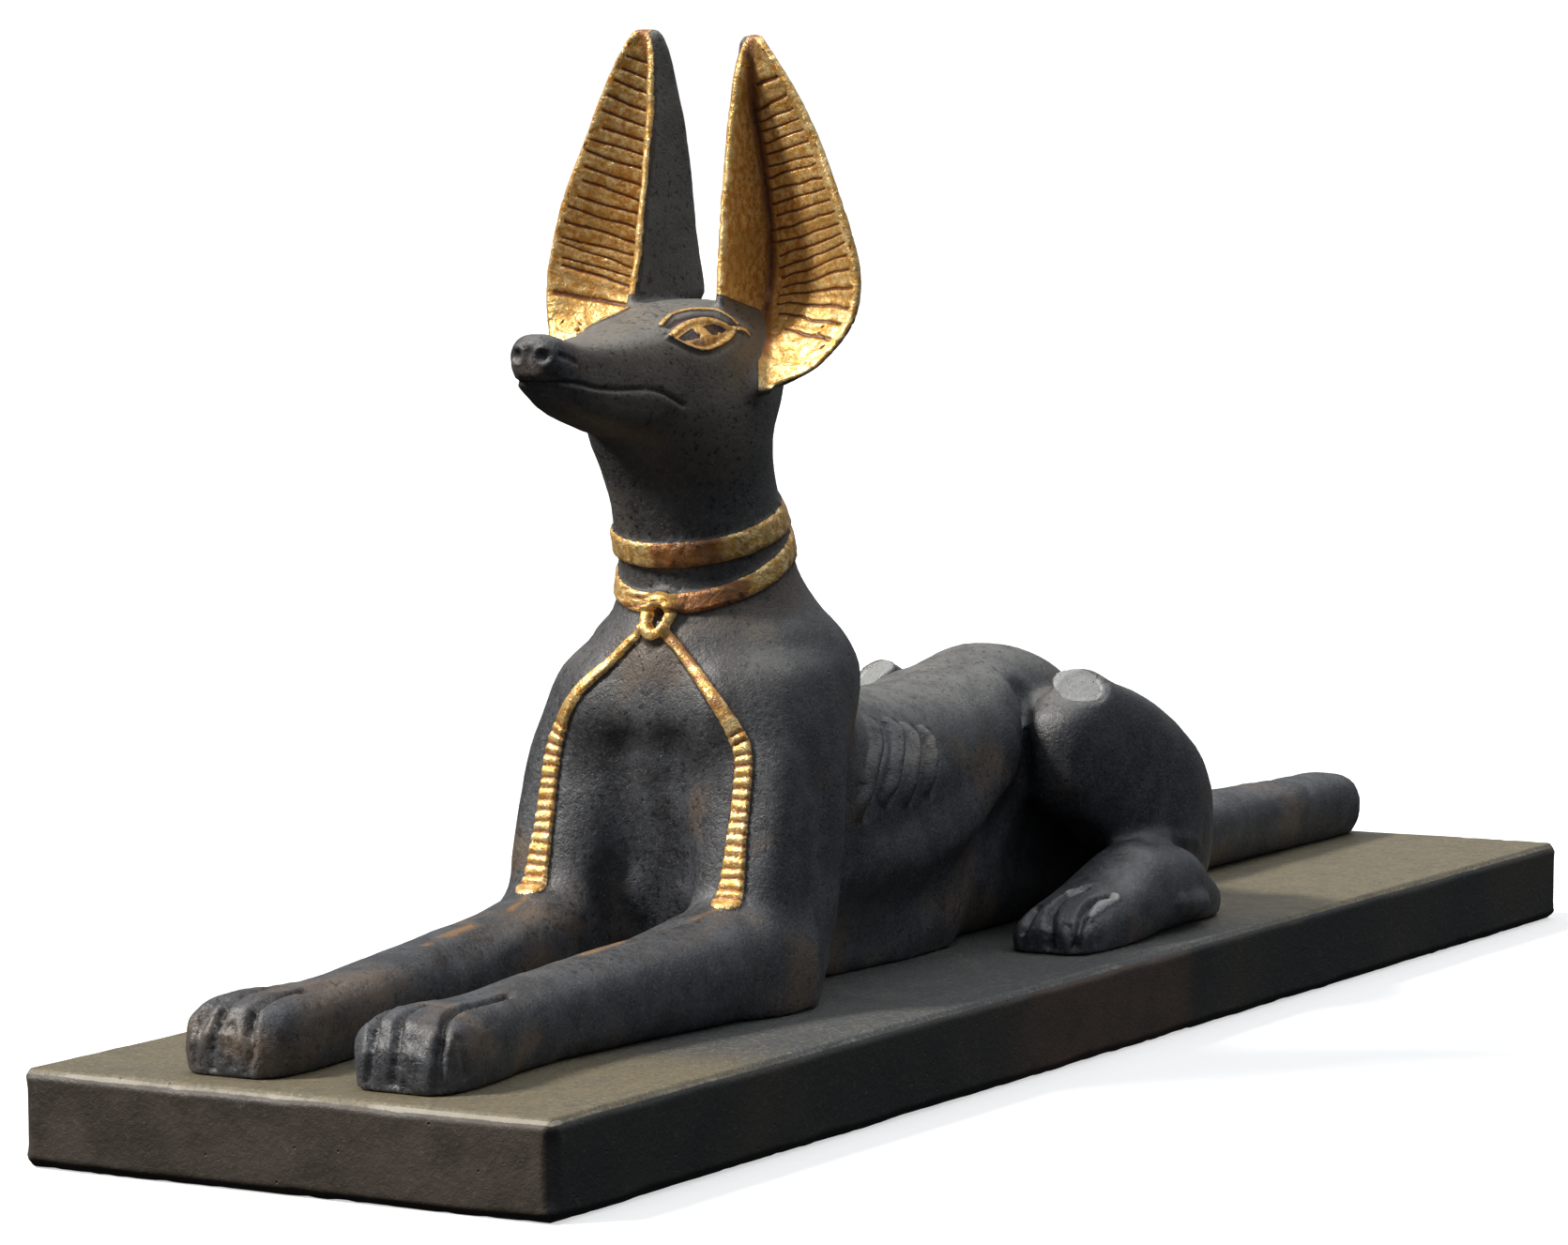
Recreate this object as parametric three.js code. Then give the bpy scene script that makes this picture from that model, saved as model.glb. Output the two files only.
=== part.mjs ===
// Lying Anubis on a long plinth: a jackal with upright ears, forelegs stretched out in front
// and the tail straight behind.
// Millimetres. The origin is the middle of the plinth's underside, Z is up, and the animal looks along -Y.
// The plinth is one solid and the animal, cast in one with its collar and ribbons, is the other.
// Shapes of the animal are given for its left side (+X) and mirrored.
import * as THREE from 'three';

// Plinth: a plain slab with worn, chamfered edges.
const PLINTH_LENGTH = 440;
const PLINTH_WIDTH = 112;
const PLINTH_HEIGHT = 18;
const PLINTH_CHAMFER = 1.8;
const PLINTH_CORNER_CHAMFER = 2.6;

// The animal stands this far above the plinth, so that the two solids never share a face.
const REST_GAP = 0.3;
const FLOOR = PLINTH_HEIGHT + REST_GAP;

// Spacing of the grid on which the animal's surface is found, and the number of triangles it is reduced to.
const GRID = 1.3;
const FIGURE_TRIANGLES = 9300;

// Half the wall thickness of the ears at the fold and at the two edges.
const EAR_WALL_FOLD = 1.6;
const EAR_WALL_EDGE = 1.0;

// How far the collar bands, the ribbons and the knot stand out from the coat.
const BAND_RELIEF = 0.9;
const RIBBON_RELIEF = 1.1;
const KNOT_RELIEF = 1.4;

// Trunk along Y: y, x, z of the axis, half width, height above and below the axis.
const TRUNK = [
  [-86, 0, 56, 17, 22, 26],
  [-76, 0, 56, 20, 22.5, 34],
  [-66, 0, 56, 21.5, 22, 40],
  [-52, 0, 54, 22, 21.5, 42],
  [-36, 0, 52.5, 22.5, 20.5, 40],
  [-20, 0, 52, 22, 19.6, 38],
  [-8, 0, 53, 21, 18.2, 34],
  [4, 0, 55, 19.5, 16.4, 25],
  [18, 0, 56, 18, 17.7, 21],
  [32, 0, 56, 17.5, 20.3, 22],
  [44, 0, 54, 18.5, 21.6, 24],
  [56, 0, 50, 19.5, 20.3, 26],
  [66, 0, 45, 19, 19.3, 25],
  [76, 0, 39, 17.5, 19, 22],
  [86, 0, 33.5, 14, 14, 16],
  [92, 0, 30, 10, 10, 12],
];

// Lower chest and belly, which run down to the plinth behind the elbows.
const BELLY = [
  [-88, 0, 34, 13, 20, 24],
  [-70, 0, 34, 15, 20, 24],
  [-45, 0, 34, 16, 20, 24],
  [-25, 0, 34, 18, 20, 24],
  [-8, 0, 34, 18, 18, 22],
  [2, 0, 38, 15.5, 14, 20],
];

// Core between the belly and the seat, down to the plinth.
const LOIN = [
  [-30, 0, 32, 12, 16, 18],
  [-4, 0, 33, 14.5, 16, 18],
  [14, 0, 34, 14.5, 16, 18],
  [28, 0, 33, 12.5, 15, 18],
  [45, 0, 32, 12, 14, 16],
  [70, 0, 30, 13, 14, 16],
];

// Neck and breast along Z: z, x, y of the axis, half width, depth behind and in front of the axis.
const NECK = [
  [17, 0, -82, 15, 10, 8],
  [30, 0, -82, 17, 10, 9.5],
  [40, 0, -81, 20, 12, 12.5],
  [50, 0, -79, 22, 14, 16],
  [58, 0, -78, 24, 17, 18.8],
  [65, 0, -77, 25, 20, 20.5],
  [73, 0, -76, 25.5, 23.2, 23.2],
  [80, 0, -75, 25, 25.9, 23.2],
  [86, 0, -74.5, 22, 25.4, 22.4],
  [92, 0, -74.5, 18.6, 22.6, 19.3],
  [100, 0, -76.5, 16.5, 18.7, 17.1],
  [107.6, 0, -78.6, 16.2, 17, 17.1],
  [113.2, 0, -81, 15.7, 16.6, 16.8],
  [118.7, 0, -83.3, 16, 17, 17.5],
  [124.2, 0, -85.2, 16.8, 18, 19],
  [130, 0, -86, 17, 19, 20],
  [136, 0, -85.5, 15.5, 17.5, 15],
  [141, 0, -84, 11, 12, 9],
  [144, 0, -83, 5, 6, 4],
];

// Head along Y, from the nose back.
const HEAD = [
  [-138.6, 0, 141.2, 3.8, 3.4, 3.2, 2.4],
  [-137.2, 0, 141, 5.1, 4.7, 4.2, 2.6],
  [-134, 0, 139.9, 5.8, 5.4, 6.2, 2.8],
  [-130, 0, 139.2, 6.1, 5.1, 7.8, 3.2],
  [-125, 0, 138.8, 6.9, 5.3, 9.2, 3.6],
  [-118, 0, 138.4, 8.4, 6.3, 10.6, 3.5],
  [-111, 0, 138, 10.2, 7.9, 11.8, 3.2],
  [-104, 0, 138, 12.4, 9.8, 12.8, 2.8],
  [-97, 0, 138, 14.8, 11.4, 13.6, 2.6],
  [-90, 0, 138, 16.4, 12.6, 14.4, 2.4],
  [-82, 0, 138, 17, 13.2, 15, 2.3],
  [-74, 0, 138, 15.6, 12.6, 16, 2.1],
  [-68, 0, 137, 12, 9.2, 13, 2],
  [-64.5, 0, 136, 6, 4.5, 7, 2],
];

// Left ear, a folded shell open to the front: z, then x and y of inner edge, fold and outer edge.
const EAR = [
  [133.5, 12, -84, 17.5, -87.5, 20.5, -89],
  [136, 11, -86, 17.5, -86.5, 24.5, -86.8],
  [139, 10.5, -87, 16.5, -84.5, 28.6, -84],
  [144, 10, -87.4, 13, -78.5, 32, -80.8],
  [148, 9.9, -87.3, 9.4, -71.5, 33.6, -79],
  [152, 9.8, -87.1, 7.6, -67.2, 34.2, -78.2],
  [155, 9.6, -86.8, 8, -67, 34.2, -78],
  [160, 9.3, -85.8, 8.6, -67.4, 33.3, -77.9],
  [165, 9.2, -85.1, 8.8, -68.1, 31.9, -78.1],
  [170, 9.1, -84.3, 8.8, -69, 30.2, -78.3],
  [175, 9.1, -83.3, 8.7, -70.2, 28.1, -78.2],
  [180, 9.1, -82.4, 8.7, -71.7, 25.9, -77.9],
  [185, 9.1, -81.6, 8.6, -73.2, 23.5, -78.1],
  [190, 9.4, -80.8, 8.8, -74.8, 20.9, -78.5],
  [195, 9.8, -80, 9.2, -76.2, 17.8, -79.1],
  [199.4, 10.8, -78.9, 10.3, -77.5, 14.6, -79.3],
  [201.6, 12, -78.3, 11.6, -77.9, 12.6, -78.6],
];

// Upper foreleg along Z, with a firm rear edge.
const UPPER_ARM = [
  [17, 21, -99, 11.8, 16, 14],
  [30, 20.8, -96.5, 11.4, 22.5, 12.2],
  [40, 20.5, -93.5, 11, 23.5, 10.8],
  [52, 20.2, -90.5, 10.9, 22.5, 10.6],
  [64, 19.3, -87, 10.9, 20.5, 11.4],
  [74, 17.6, -84, 10.6, 16, 12],
  [80, 16.4, -82.5, 9.8, 12, 11.2],
  [86, 13, -79, 6.5, 7.5, 7],
];

// Foreleg and paw along Y, from the toes back.
const FORELEG = [
  [-210.6, 17.9, 22, 7.5, 4, 6.5, 3],
  [-207.6, 17.9, 23, 10.2, 7.4, 9, 3],
  [-200, 17.8, 23.6, 10.9, 8.1, 9, 3],
  [-190, 17.6, 23.6, 9.9, 7.7, 9, 2.9],
  [-180, 17.3, 24, 8.8, 7.6, 9, 2.6],
  [-168, 17.2, 24.6, 8.7, 8.2, 9, 2.4],
  [-156, 17.8, 25, 9.1, 8.6, 9, 2.4],
  [-140, 18.5, 25.2, 9.9, 9.7, 9, 2.4],
  [-120, 19.5, 25.8, 11.4, 10.5, 10, 2.4],
  [-106, 20.2, 26.3, 12.2, 11.8, 10, 2.4],
  [-92, 21, 26.5, 12, 10.6, 10, 2.4],
];

// Hind leg along Y: knee high in front, thigh and shin in one mass down to the rump.
const HIND_LEG = [
  [20.8, 23.2, 57.5, 2.4, 2.8, 5],
  [22.1, 23.3, 57.3, 5.2, 5.8, 10],
  [25, 23.6, 57, 7.1, 8.4, 13.5],
  [30, 24, 56.8, 8, 11.2, 16],
  [37, 24.4, 55.5, 8.6, 13.8, 18],
  [45, 24.8, 52.5, 9.6, 15.8, 20],
  [54, 25.2, 48.5, 10.3, 16.6, 20],
  [63, 25.6, 43.5, 10.6, 16.9, 21],
  [71, 25.4, 39.5, 10.4, 16.2, 20],
  [78, 24.8, 37, 9.2, 13.6, 16],
  [84, 23.8, 36.5, 6.6, 9.8, 11],
  [88, 22.6, 37, 3.2, 5, 5],
];

// Hind foot along Y, from the toes back to the hock.
const HIND_FOOT = [
  [-5.5, 36.5, 20.5, 6, 2.6, 5],
  [-3.5, 36.5, 21, 8.4, 3.8, 7],
  [2, 36.5, 21.5, 9.6, 5.2, 8],
  [8, 36.6, 22, 10, 6.4, 8],
  [14, 36.7, 22.5, 10.2, 7.4, 8],
  [22, 36.7, 23.5, 10.4, 9.2, 8],
  [34, 36.5, 25, 10.4, 11, 8],
  [50, 36, 25, 9.4, 9.4, 8],
  [60, 35.5, 23, 8, 5.2, 8],
  [67.5, 35.2, 21.5, 6, 3.2, 6],
];

// Tail along Y, flat on the plinth.
const TAIL = [
  [80, 0, 30, 11, 12, 12],
  [100, 0, 26, 10.4, 9.2, 9],
  [120, 0, 26, 10.4, 8.6, 9],
  [150, 0, 26, 9.6, 8, 9],
  [190, 0, 25.5, 8.6, 7.6, 9],
  [208, 0, 25.5, 8.4, 7.4, 9],
  [214, 0, 25.2, 7.6, 6.6, 8.5],
  [217.5, 0, 24.6, 5, 4.6, 6],
];

// Swellings of the left side: middle, radii and tilt about X in degrees.
const SHOULDER = [[15.6, -66, 76.5], [8.9, 13.4, 12.2], -12];
const PECTORAL = [[13, -86.5, 72.5], [7.5, 12, 11], 0];
const BREAST = [[7.5, -84, 56], [10.5, 12, 24], -6];
const KNEE = [[24.6, 34.2, 64.2], [6.4, 8.2, 8], 0];

// Flat facet on top of the knee: a point in its plane and the plane's outward direction.
const KNEE_FACET = [[26, 31.5, 68], [0.454, -0.525, 0.727]];

// Crest along the lower edge of the flank, and the hollow under it.
const FLANK_CREST = [
  [15.2, 18, 68],
  [17.6, 15.5, 63],
  [18.6, 13.5, 57],
  [18.6, 10.5, 51.5],
  [19, 4, 47.4],
  [20.7, -8.5, 44.6],
  [21.6, -21.7, 41.5],
  [21.9, -34.8, 39.4],
  [21.6, -50, 38.6],
];
const FLANK_HOLLOW = [
  [15, 14, 42],
  [17, 4, 37],
  [18.5, -8, 33.5],
  [19, -22, 30.5],
  [19, -36, 29],
  [19, -52, 28],
];
// Valley between the flank and the thigh.
const FLANK_VALLEY = [
  [15, 26, 67],
  [17, 23.8, 61],
  [17.5, 22.3, 55],
  [17, 21, 48],
  [15.5, 19, 42],
];

// Mouth line of the left side, from the lip in front to its corner.
const MOUTH = [
  [0, -137.6, 137],
  [4.1, -136.5, 137.2],
  [5.8, -131.9, 136.7],
  [6.9, -124.9, 135.5],
  [8.3, -118.4, 135.2],
  [9.4, -113.8, 135.2],
  [10.4, -110.4, 134.7],
  [11.2, -107.2, 133.3],
  [11.8, -104.3, 131.9],
];

// Grooves between the toes of the forepaw, from its top down the front.
const FORE_TOES = [
  [
    [10.6, -198, 31], [11.7, -205.6, 29.7], [12.4, -208, 28.5], [12.8, -209.5, 26.5],
    [13.3, -210.9, 24], [12.9, -210.9, 21], [12.8, -210.8, 18],
  ],
  [
    [17.2, -198, 31.2], [16.7, -205.9, 30.1], [17.2, -207.8, 29.1], [17.7, -209.2, 27],
    [18.5, -210.4, 24], [18.4, -210.5, 20.5], [17.9, -210.3, 18],
  ],
  [
    [21.3, -180.3, 31.2], [21.5, -187, 30.9], [22.5, -194.4, 30.7], [23.6, -202.5, 30.2],
    [24.6, -205.3, 29.4], [25.5, -207.2, 27.9], [26.1, -208.7, 25.7], [26.2, -209.4, 22],
    [25.9, -209.3, 18],
  ],
];

// Grooves between the toes of the hind paw.
const HIND_TOES = [
  [
    [30.3, 2.8, 26.1], [31.4, -1.7, 24.6], [32, -4.1, 22.6], [32, -4.3, 18],
  ],
  [
    [36.6, 12.2, 29.5], [34.9, 8.1, 28.4], [34.3, 5, 27.4], [34.6, 2, 26.3],
    [36, -1.2, 25.2], [37.6, -5, 23.5], [37.9, -5.6, 21.3], [38, -5.4, 18],
  ],
  [
    [42.9, 11.4, 28.2], [41, 7, 27], [41.6, 2.5, 25.9], [42.5, -0.6, 24.4],
    [43.5, -3.8, 22.5], [43, -4.8, 18],
  ],
];

// Ribs that stand out on the flank, from the top down.
const RIBS = [
  [
    [16.3, -42.8, 68.7], [18.9, -44, 66.5], [20.6, -46, 63.4], [21.9, -49.9, 59.8],
    [22.1, -52.8, 55.5], [22.4, -55.3, 52.1], [22, -55.7, 49.1],
  ],
  [
    [16.4, -35, 67.7], [18.9, -35.2, 65.7], [20.7, -37.2, 62.8], [21.9, -40.8, 59.4],
    [22.3, -43.2, 56.2], [22.7, -46, 53], [22.7, -47.1, 51.3],
  ],
  [
    [17.3, -29.2, 66.1], [19.9, -29.9, 63.5], [21.5, -32, 60.7], [22.5, -35.2, 57.3],
    [22.5, -37, 53.9], [22.3, -38.4, 50.4],
  ],
  [
    [17.8, -23.3, 65.2], [20, -23.2, 62.9], [21.3, -24.6, 60], [22.3, -27.2, 56.8],
    [22.2, -28.8, 53.8], [22.1, -29.9, 51.4],
  ],
];

// Fold over the ankle, and the spur of the hock.
const HIND_FOLDS = [
  [
    [35.5, 32, 36.2], [34.5, 46.3, 35.8], [35.1, 54.1, 35.4], [35.9, 60, 34.5],
    [36.2, 66.7, 32.8],
  ],
  [
    [46.6, 36, 24], [46.2, 42, 23], [45.9, 47, 23.2], [45.5, 50.5, 21.8],
  ],
];

// Left ribbon from the knot down: points on its middle line and its half width.
const RIBBON = [
  [3, -97.2, 88.6, 1.1],
  [6.5, -98, 85.4, 1.15],
  [10, -98.6, 82, 1.25],
  [13.4, -99, 78.4, 1.4],
  [16.4, -98.8, 74.6, 1.6],
  [19, -98.3, 70.6, 1.75],
  [20.7, -97.9, 66.5, 1.75],
  [21.3, -98.3, 62, 1.75],
  [21.4, -98.8, 57.6, 1.8],
  [21.5, -99.4, 50, 2],
  [21.6, -101.2, 43, 2.4],
  [21.6, -102.6, 38.6, 2.75],
  [21.6, -103.6, 35.4, 2.9],
];

// Collar bands: height of an edge at the front of the neck, its y there, and its rise towards the back.
const UPPER_BAND_TOP = [104.9, -95.6, 0.31];
const UPPER_BAND_LOW = [100.2, -95, 0.3];
const LOWER_BAND_TOP = [94.5, -94.8, 0.47];
const LOWER_BAND_LOW = [91.1, -95.1, 0.4];

// Knot on the breast, an upright ring: height of its middle, half sizes, and the hole as a share of them.
const KNOT_HEIGHT = 91.4;
const KNOT_HALF_WIDTH = 2.6;
const KNOT_HALF_HEIGHT = 4.3;
const KNOT_HOLE = 0.35;

// Nostril: middle, radius and depth.
const NOSTRIL = [2.85, -137.6, 141.9];
const NOSTRIL_RADIUS = 1.3;
const NOSTRIL_DEPTH = 1.6;

// Half width and depth of the carving; a depth below zero stands out.
const MOUTH_LINE = { half: 1.1, depth: 0.8 };
const TOE_GROOVE = { half: 1.2, depth: 1.6 };
const RIB_RIDGE = { half: 1.3, depth: -1.3 };
const FOLD_RIDGE = { half: 1.6, depth: -0.6 };
const FLANK_RIDGE = { half: 5.5, depth: -1.6 };
const FLANK_DIP = { half: 6.5, depth: 2.4 };
const VALLEY_DIP = { half: 3, depth: 2 };

// Smooth curve through the points (xs, ys) that adds no waves of its own.
function curve(xs, ys) {
  const n = xs.length;
  const h = [];
  const s = [];
  for (let i = 0; i < n - 1; i++) {
    h.push(xs[i + 1] - xs[i]);
    s.push((ys[i + 1] - ys[i]) / h[i]);
  }
  const m = new Array(n).fill(0);
  m[0] = s[0];
  m[n - 1] = s[n - 2];
  for (let i = 1; i < n - 1; i++) {
    if (s[i - 1] * s[i] > 0) {
      const w1 = 2 * h[i] + h[i - 1];
      const w2 = h[i] + 2 * h[i - 1];
      m[i] = (w1 + w2) / (w1 / s[i - 1] + w2 / s[i]);
    }
  }
  return (x) => {
    let i = 0;
    while (i < n - 2 && x > xs[i + 1]) i++;
    const t = Math.min(Math.max((x - xs[i]) / h[i], 0), 1);
    const a = 2 * t ** 3 - 3 * t ** 2 + 1;
    const b = t ** 3 - 2 * t ** 2 + t;
    const c = t ** 3 - t ** 2;
    return a * ys[i] + b * h[i] * m[i] + (1 - a) * ys[i + 1] + c * h[i] * m[i + 1];
  };
}

// Columns of a station list as finely spaced look-up values along the first column.
function columns(stations) {
  const s = stations.map((row) => row[0]);
  const step = 0.25;
  const count = Math.floor((s[s.length - 1] - s[0]) / step) + 1;
  const values = [];
  for (let j = 1; j < stations[0].length; j++) {
    const f = curve(s, stations.map((row) => row[j]));
    values.push(Float64Array.from({ length: count }, (_, i) => f(s[0] + i * step)));
  }
  const at = (q) => {
    const p = Math.min(Math.max((q - s[0]) / step, 0), count - 1.001);
    const i = Math.floor(p);
    return values.map((v) => v[i] + (v[i + 1] - v[i]) * (p - i));
  };
  return { first: s[0], last: s[s.length - 1], at, values };
}

// Body of changing oval section along Y or Z; a sixth column sets how square each section is.
function loft(axis, stations, power) {
  const c = columns(stations);
  const lo = [0, 0, 0];
  const hi = [0, 0, 0];
  const v = axis === 1 ? 2 : 1;
  lo[axis] = c.first;
  hi[axis] = c.last;
  lo[0] = Math.min(...c.values[0].map((x, i) => x - c.values[2][i]));
  hi[0] = Math.max(...c.values[0].map((x, i) => x + c.values[2][i]));
  lo[v] = Math.min(...c.values[1].map((x, i) => x - c.values[4][i]));
  hi[v] = Math.max(...c.values[1].map((x, i) => x + c.values[3][i]));
  const distance = (x, y, z) => {
    const q = axis === 1 ? y : z;
    const [cu, cv, ru, rp, rm, square] = c.at(q);
    const e = square ?? power;
    const du = x - cu;
    const dv = (axis === 1 ? z : y) - cv;
    const rv = dv > 0 ? rp : rm;
    const n = (Math.abs(du / ru) ** e + Math.abs(dv / rv) ** e) ** (1 / e);
    const d = n > 0.05 ? Math.hypot(du, dv) * (1 - 1 / n) : -Math.min(ru, rv);
    const over = Math.max(c.first - q, q - c.last, 0);
    return over > 0 ? Math.hypot(Math.max(d, 0), over) : d;
  };
  return { lo, hi, distance };
}

// Ellipsoid with its centre, radii and tilt about X in degrees.
function egg(centre, radii, tilt) {
  const a = (tilt * Math.PI) / 180;
  const ca = Math.cos(a);
  const sa = Math.sin(a);
  const reach = Math.max(...radii);
  const distance = (x, y, z) => {
    const dx = x - centre[0];
    const dy = y - centre[1];
    const dz = z - centre[2];
    const u = dx / radii[0];
    const v = (ca * dy + sa * dz) / radii[1];
    const w = (ca * dz - sa * dy) / radii[2];
    const k0 = Math.hypot(u, v, w) + 1e-6;
    const k1 = Math.hypot(u / radii[0], v / radii[1], w / radii[2]) + 1e-6;
    return (k0 * (k0 - 1)) / k1;
  };
  return { lo: centre.map((c) => c - reach), hi: centre.map((c) => c + reach), distance };
}

// Distance from a point to a segment in the plane, less a half thickness that changes along it.
function bar(px, py, ax, ay, bx, by, ra, rb) {
  const dx = bx - ax;
  const dy = by - ay;
  const t = Math.min(Math.max(((px - ax) * dx + (py - ay) * dy) / (dx * dx + dy * dy + 1e-9), 0), 1);
  return Math.hypot(px - ax - t * dx, py - ay - t * dy) - (ra + (rb - ra) * t);
}

// The ear: a straight inner wall, a fold, and an outer wall bowed to the back.
function ear() {
  const c = columns(EAR);
  const top = c.last - 0.8;
  const distance = (x, y, z) => {
    const [mx, my, fx, fy, ex, ey] = c.at(Math.min(z, top));
    const qx = (fx + ex) / 2 - 0.1 * (ey - fy);
    const qy = (fy + ey) / 2 + 0.1 * (ex - fx);
    let best = bar(x, y, mx, my, fx, fy, EAR_WALL_EDGE, EAR_WALL_FOLD);
    let ax = fx;
    let ay = fy;
    let ra = EAR_WALL_FOLD;
    for (let i = 1; i <= 5; i++) {
      const t = i / 5;
      const bx = (1 - t) ** 2 * fx + 2 * t * (1 - t) * qx + t * t * ex;
      const by = (1 - t) ** 2 * fy + 2 * t * (1 - t) * qy + t * t * ey;
      const rb = EAR_WALL_FOLD * (1 - t) + EAR_WALL_EDGE * t;
      best = Math.min(best, bar(x, y, ax, ay, bx, by, ra, rb));
      [ax, ay, ra] = [bx, by, rb];
    }
    const over = Math.max(c.first - z, z - top, 0);
    return over > 0 ? Math.hypot(Math.max(best, 0), over) : best;
  };
  return { lo: [4, -93, 131], hi: [38, -62, 203], distance };
}

// Everything behind a plane through p with the outward normal n.
function behind(p, n) {
  const l = Math.hypot(...n);
  return (x, y, z) => ((x - p[0]) * n[0] + (y - p[1]) * n[1] + (z - p[2]) * n[2]) / l;
}

// Union of two distances with a fillet of width k, and the matching intersection.
const blend = (a, b, k) => {
  const h = Math.max(k - Math.abs(a - b), 0) / k;
  return Math.min(a, b) - (h * h * k) / 4;
};
const common = (a, b, k) => -blend(-a, -b, k);

// Distances on a regular grid over the animal's left half, one plane of it at x = 0.
class Field {
  constructor(lo, hi, step) {
    this.lo = lo;
    this.step = step;
    this.n = lo.map((v, i) => Math.ceil((hi[i] - v) / step) + 1);
    this.f = new Float32Array(this.n[0] * this.n[1] * this.n[2]).fill(12);
  }
  each(lo, hi, margin, change) {
    const [, ny, nz] = this.n;
    const from = lo.map((v, i) => Math.max(Math.floor((v - margin - this.lo[i]) / this.step), 0));
    const to = hi.map((v, i) => Math.min(Math.ceil((v + margin - this.lo[i]) / this.step), this.n[i] - 1));
    for (let j = from[1]; j <= to[1]; j++) {
      for (let k = from[2]; k <= to[2]; k++) {
        for (let i = from[0]; i <= to[0]; i++) {
          const at = (i * ny + j) * nz + k;
          const x = this.lo[0] + i * this.step;
          const y = this.lo[1] + j * this.step;
          const z = this.lo[2] + k * this.step;
          this.f[at] = change(this.f[at], x, y, z);
        }
      }
    }
  }
  add(shape, k) {
    this.each(shape.lo, shape.hi, k + 2, (f, x, y, z) => blend(f, shape.distance(x, y, z), k));
  }
  press(lo, hi, depth) {
    this.each(lo, hi, 0, (f, x, y, z) => f + depth(x, y, z));
  }
  // Distance between the grid points, and its slope.
  at(p) {
    const c = p.map((v, i) => Math.min(Math.max((v - this.lo[i]) / this.step, 0.01), this.n[i] - 1.01));
    const i = c.map(Math.floor);
    const t = c.map((v, m) => v - i[m]);
    let f = 0;
    const g = [0, 0, 0];
    for (let a = 0; a < 8; a++) {
      const bit = [a & 1, (a >> 1) & 1, a >> 2];
      const v = this.f[((i[0] + bit[0]) * this.n[1] + i[1] + bit[1]) * this.n[2] + i[2] + bit[2]];
      const w = bit.map((b, m) => (b ? t[m] : 1 - t[m]));
      f += v * w[0] * w[1] * w[2];
      g[0] += ((bit[0] ? v : -v) * w[1] * w[2]) / this.step;
      g[1] += ((bit[1] ? v : -v) * w[0] * w[2]) / this.step;
      g[2] += ((bit[2] ? v : -v) * w[0] * w[1]) / this.step;
    }
    return { f, g };
  }
  // Points of a line drawn onto the coat.
  settle(points) {
    return points.map((point) => {
      const p = point.slice(0, 3);
      for (let i = 0; i < 6; i++) {
        const { f, g } = this.at(p);
        const size = g[0] ** 2 + g[1] ** 2 + g[2] ** 2 + 1e-6;
        const move = Math.min(Math.max(f, -2), 2) / size;
        for (let m = 0; m < 3; m++) p[m] -= move * g[m];
        p[0] = Math.max(p[0], 0);
      }
      return [...p, ...point.slice(3)];
    });
  }
  // The lowest layer lies half a step under the floor and is all outside, which makes the underside flat.
  closeBelow() {
    for (let at = 0; at < this.f.length; at += this.n[2]) this.f[at] = Math.max(this.f[at], this.step / 2);
  }
}

// Nearest place on a chain of segments: distance, length along the chain, and its fourth column there.
function along(chain, x, y, z) {
  let best = { d: 1e9, s: 0, w: 0 };
  let start = 0;
  for (let i = 0; i + 1 < chain.length; i++) {
    const a = chain[i];
    const b = chain[i + 1];
    const e = [b[0] - a[0], b[1] - a[1], b[2] - a[2]];
    const size = e[0] ** 2 + e[1] ** 2 + e[2] ** 2;
    const t = Math.min(Math.max(((x - a[0]) * e[0] + (y - a[1]) * e[1] + (z - a[2]) * e[2]) / size, 0), 1);
    const d = Math.hypot(x - a[0] - t * e[0], y - a[1] - t * e[1], z - a[2] - t * e[2]);
    const w = (a[3] ?? 0) * (1 - t) + (b[3] ?? 0) * t;
    if (d < best.d) best = { d, s: start + t * Math.sqrt(size), w };
    start += Math.sqrt(size);
  }
  return best;
}

// 0 below -w, 1 above w, smooth between.
function rise(d, w) {
  const t = Math.min(Math.max(d / (2 * w) + 0.5, 0), 1);
  return t * t * (3 - 2 * t);
}

const lowest = (chain, by) => [0, 1, 2].map((m) => Math.min(...chain.map((p) => p[m])) - by);
const highest = (chain, by) => [0, 1, 2].map((m) => Math.max(...chain.map((p) => p[m])) + by);

// A carved line with a soft round section.
function carveLine(field, points, { half, depth }) {
  const reach = 1.6 * half;
  field.press(lowest(points, reach), highest(points, reach), (x, y, z) => {
    const t = Math.min(along(points, x, y, z).d / reach, 1);
    return depth * (1 - t * t) ** 2;
  });
}

const edge = ([height, y0, slope], y) => height + slope * (y - y0);

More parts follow.
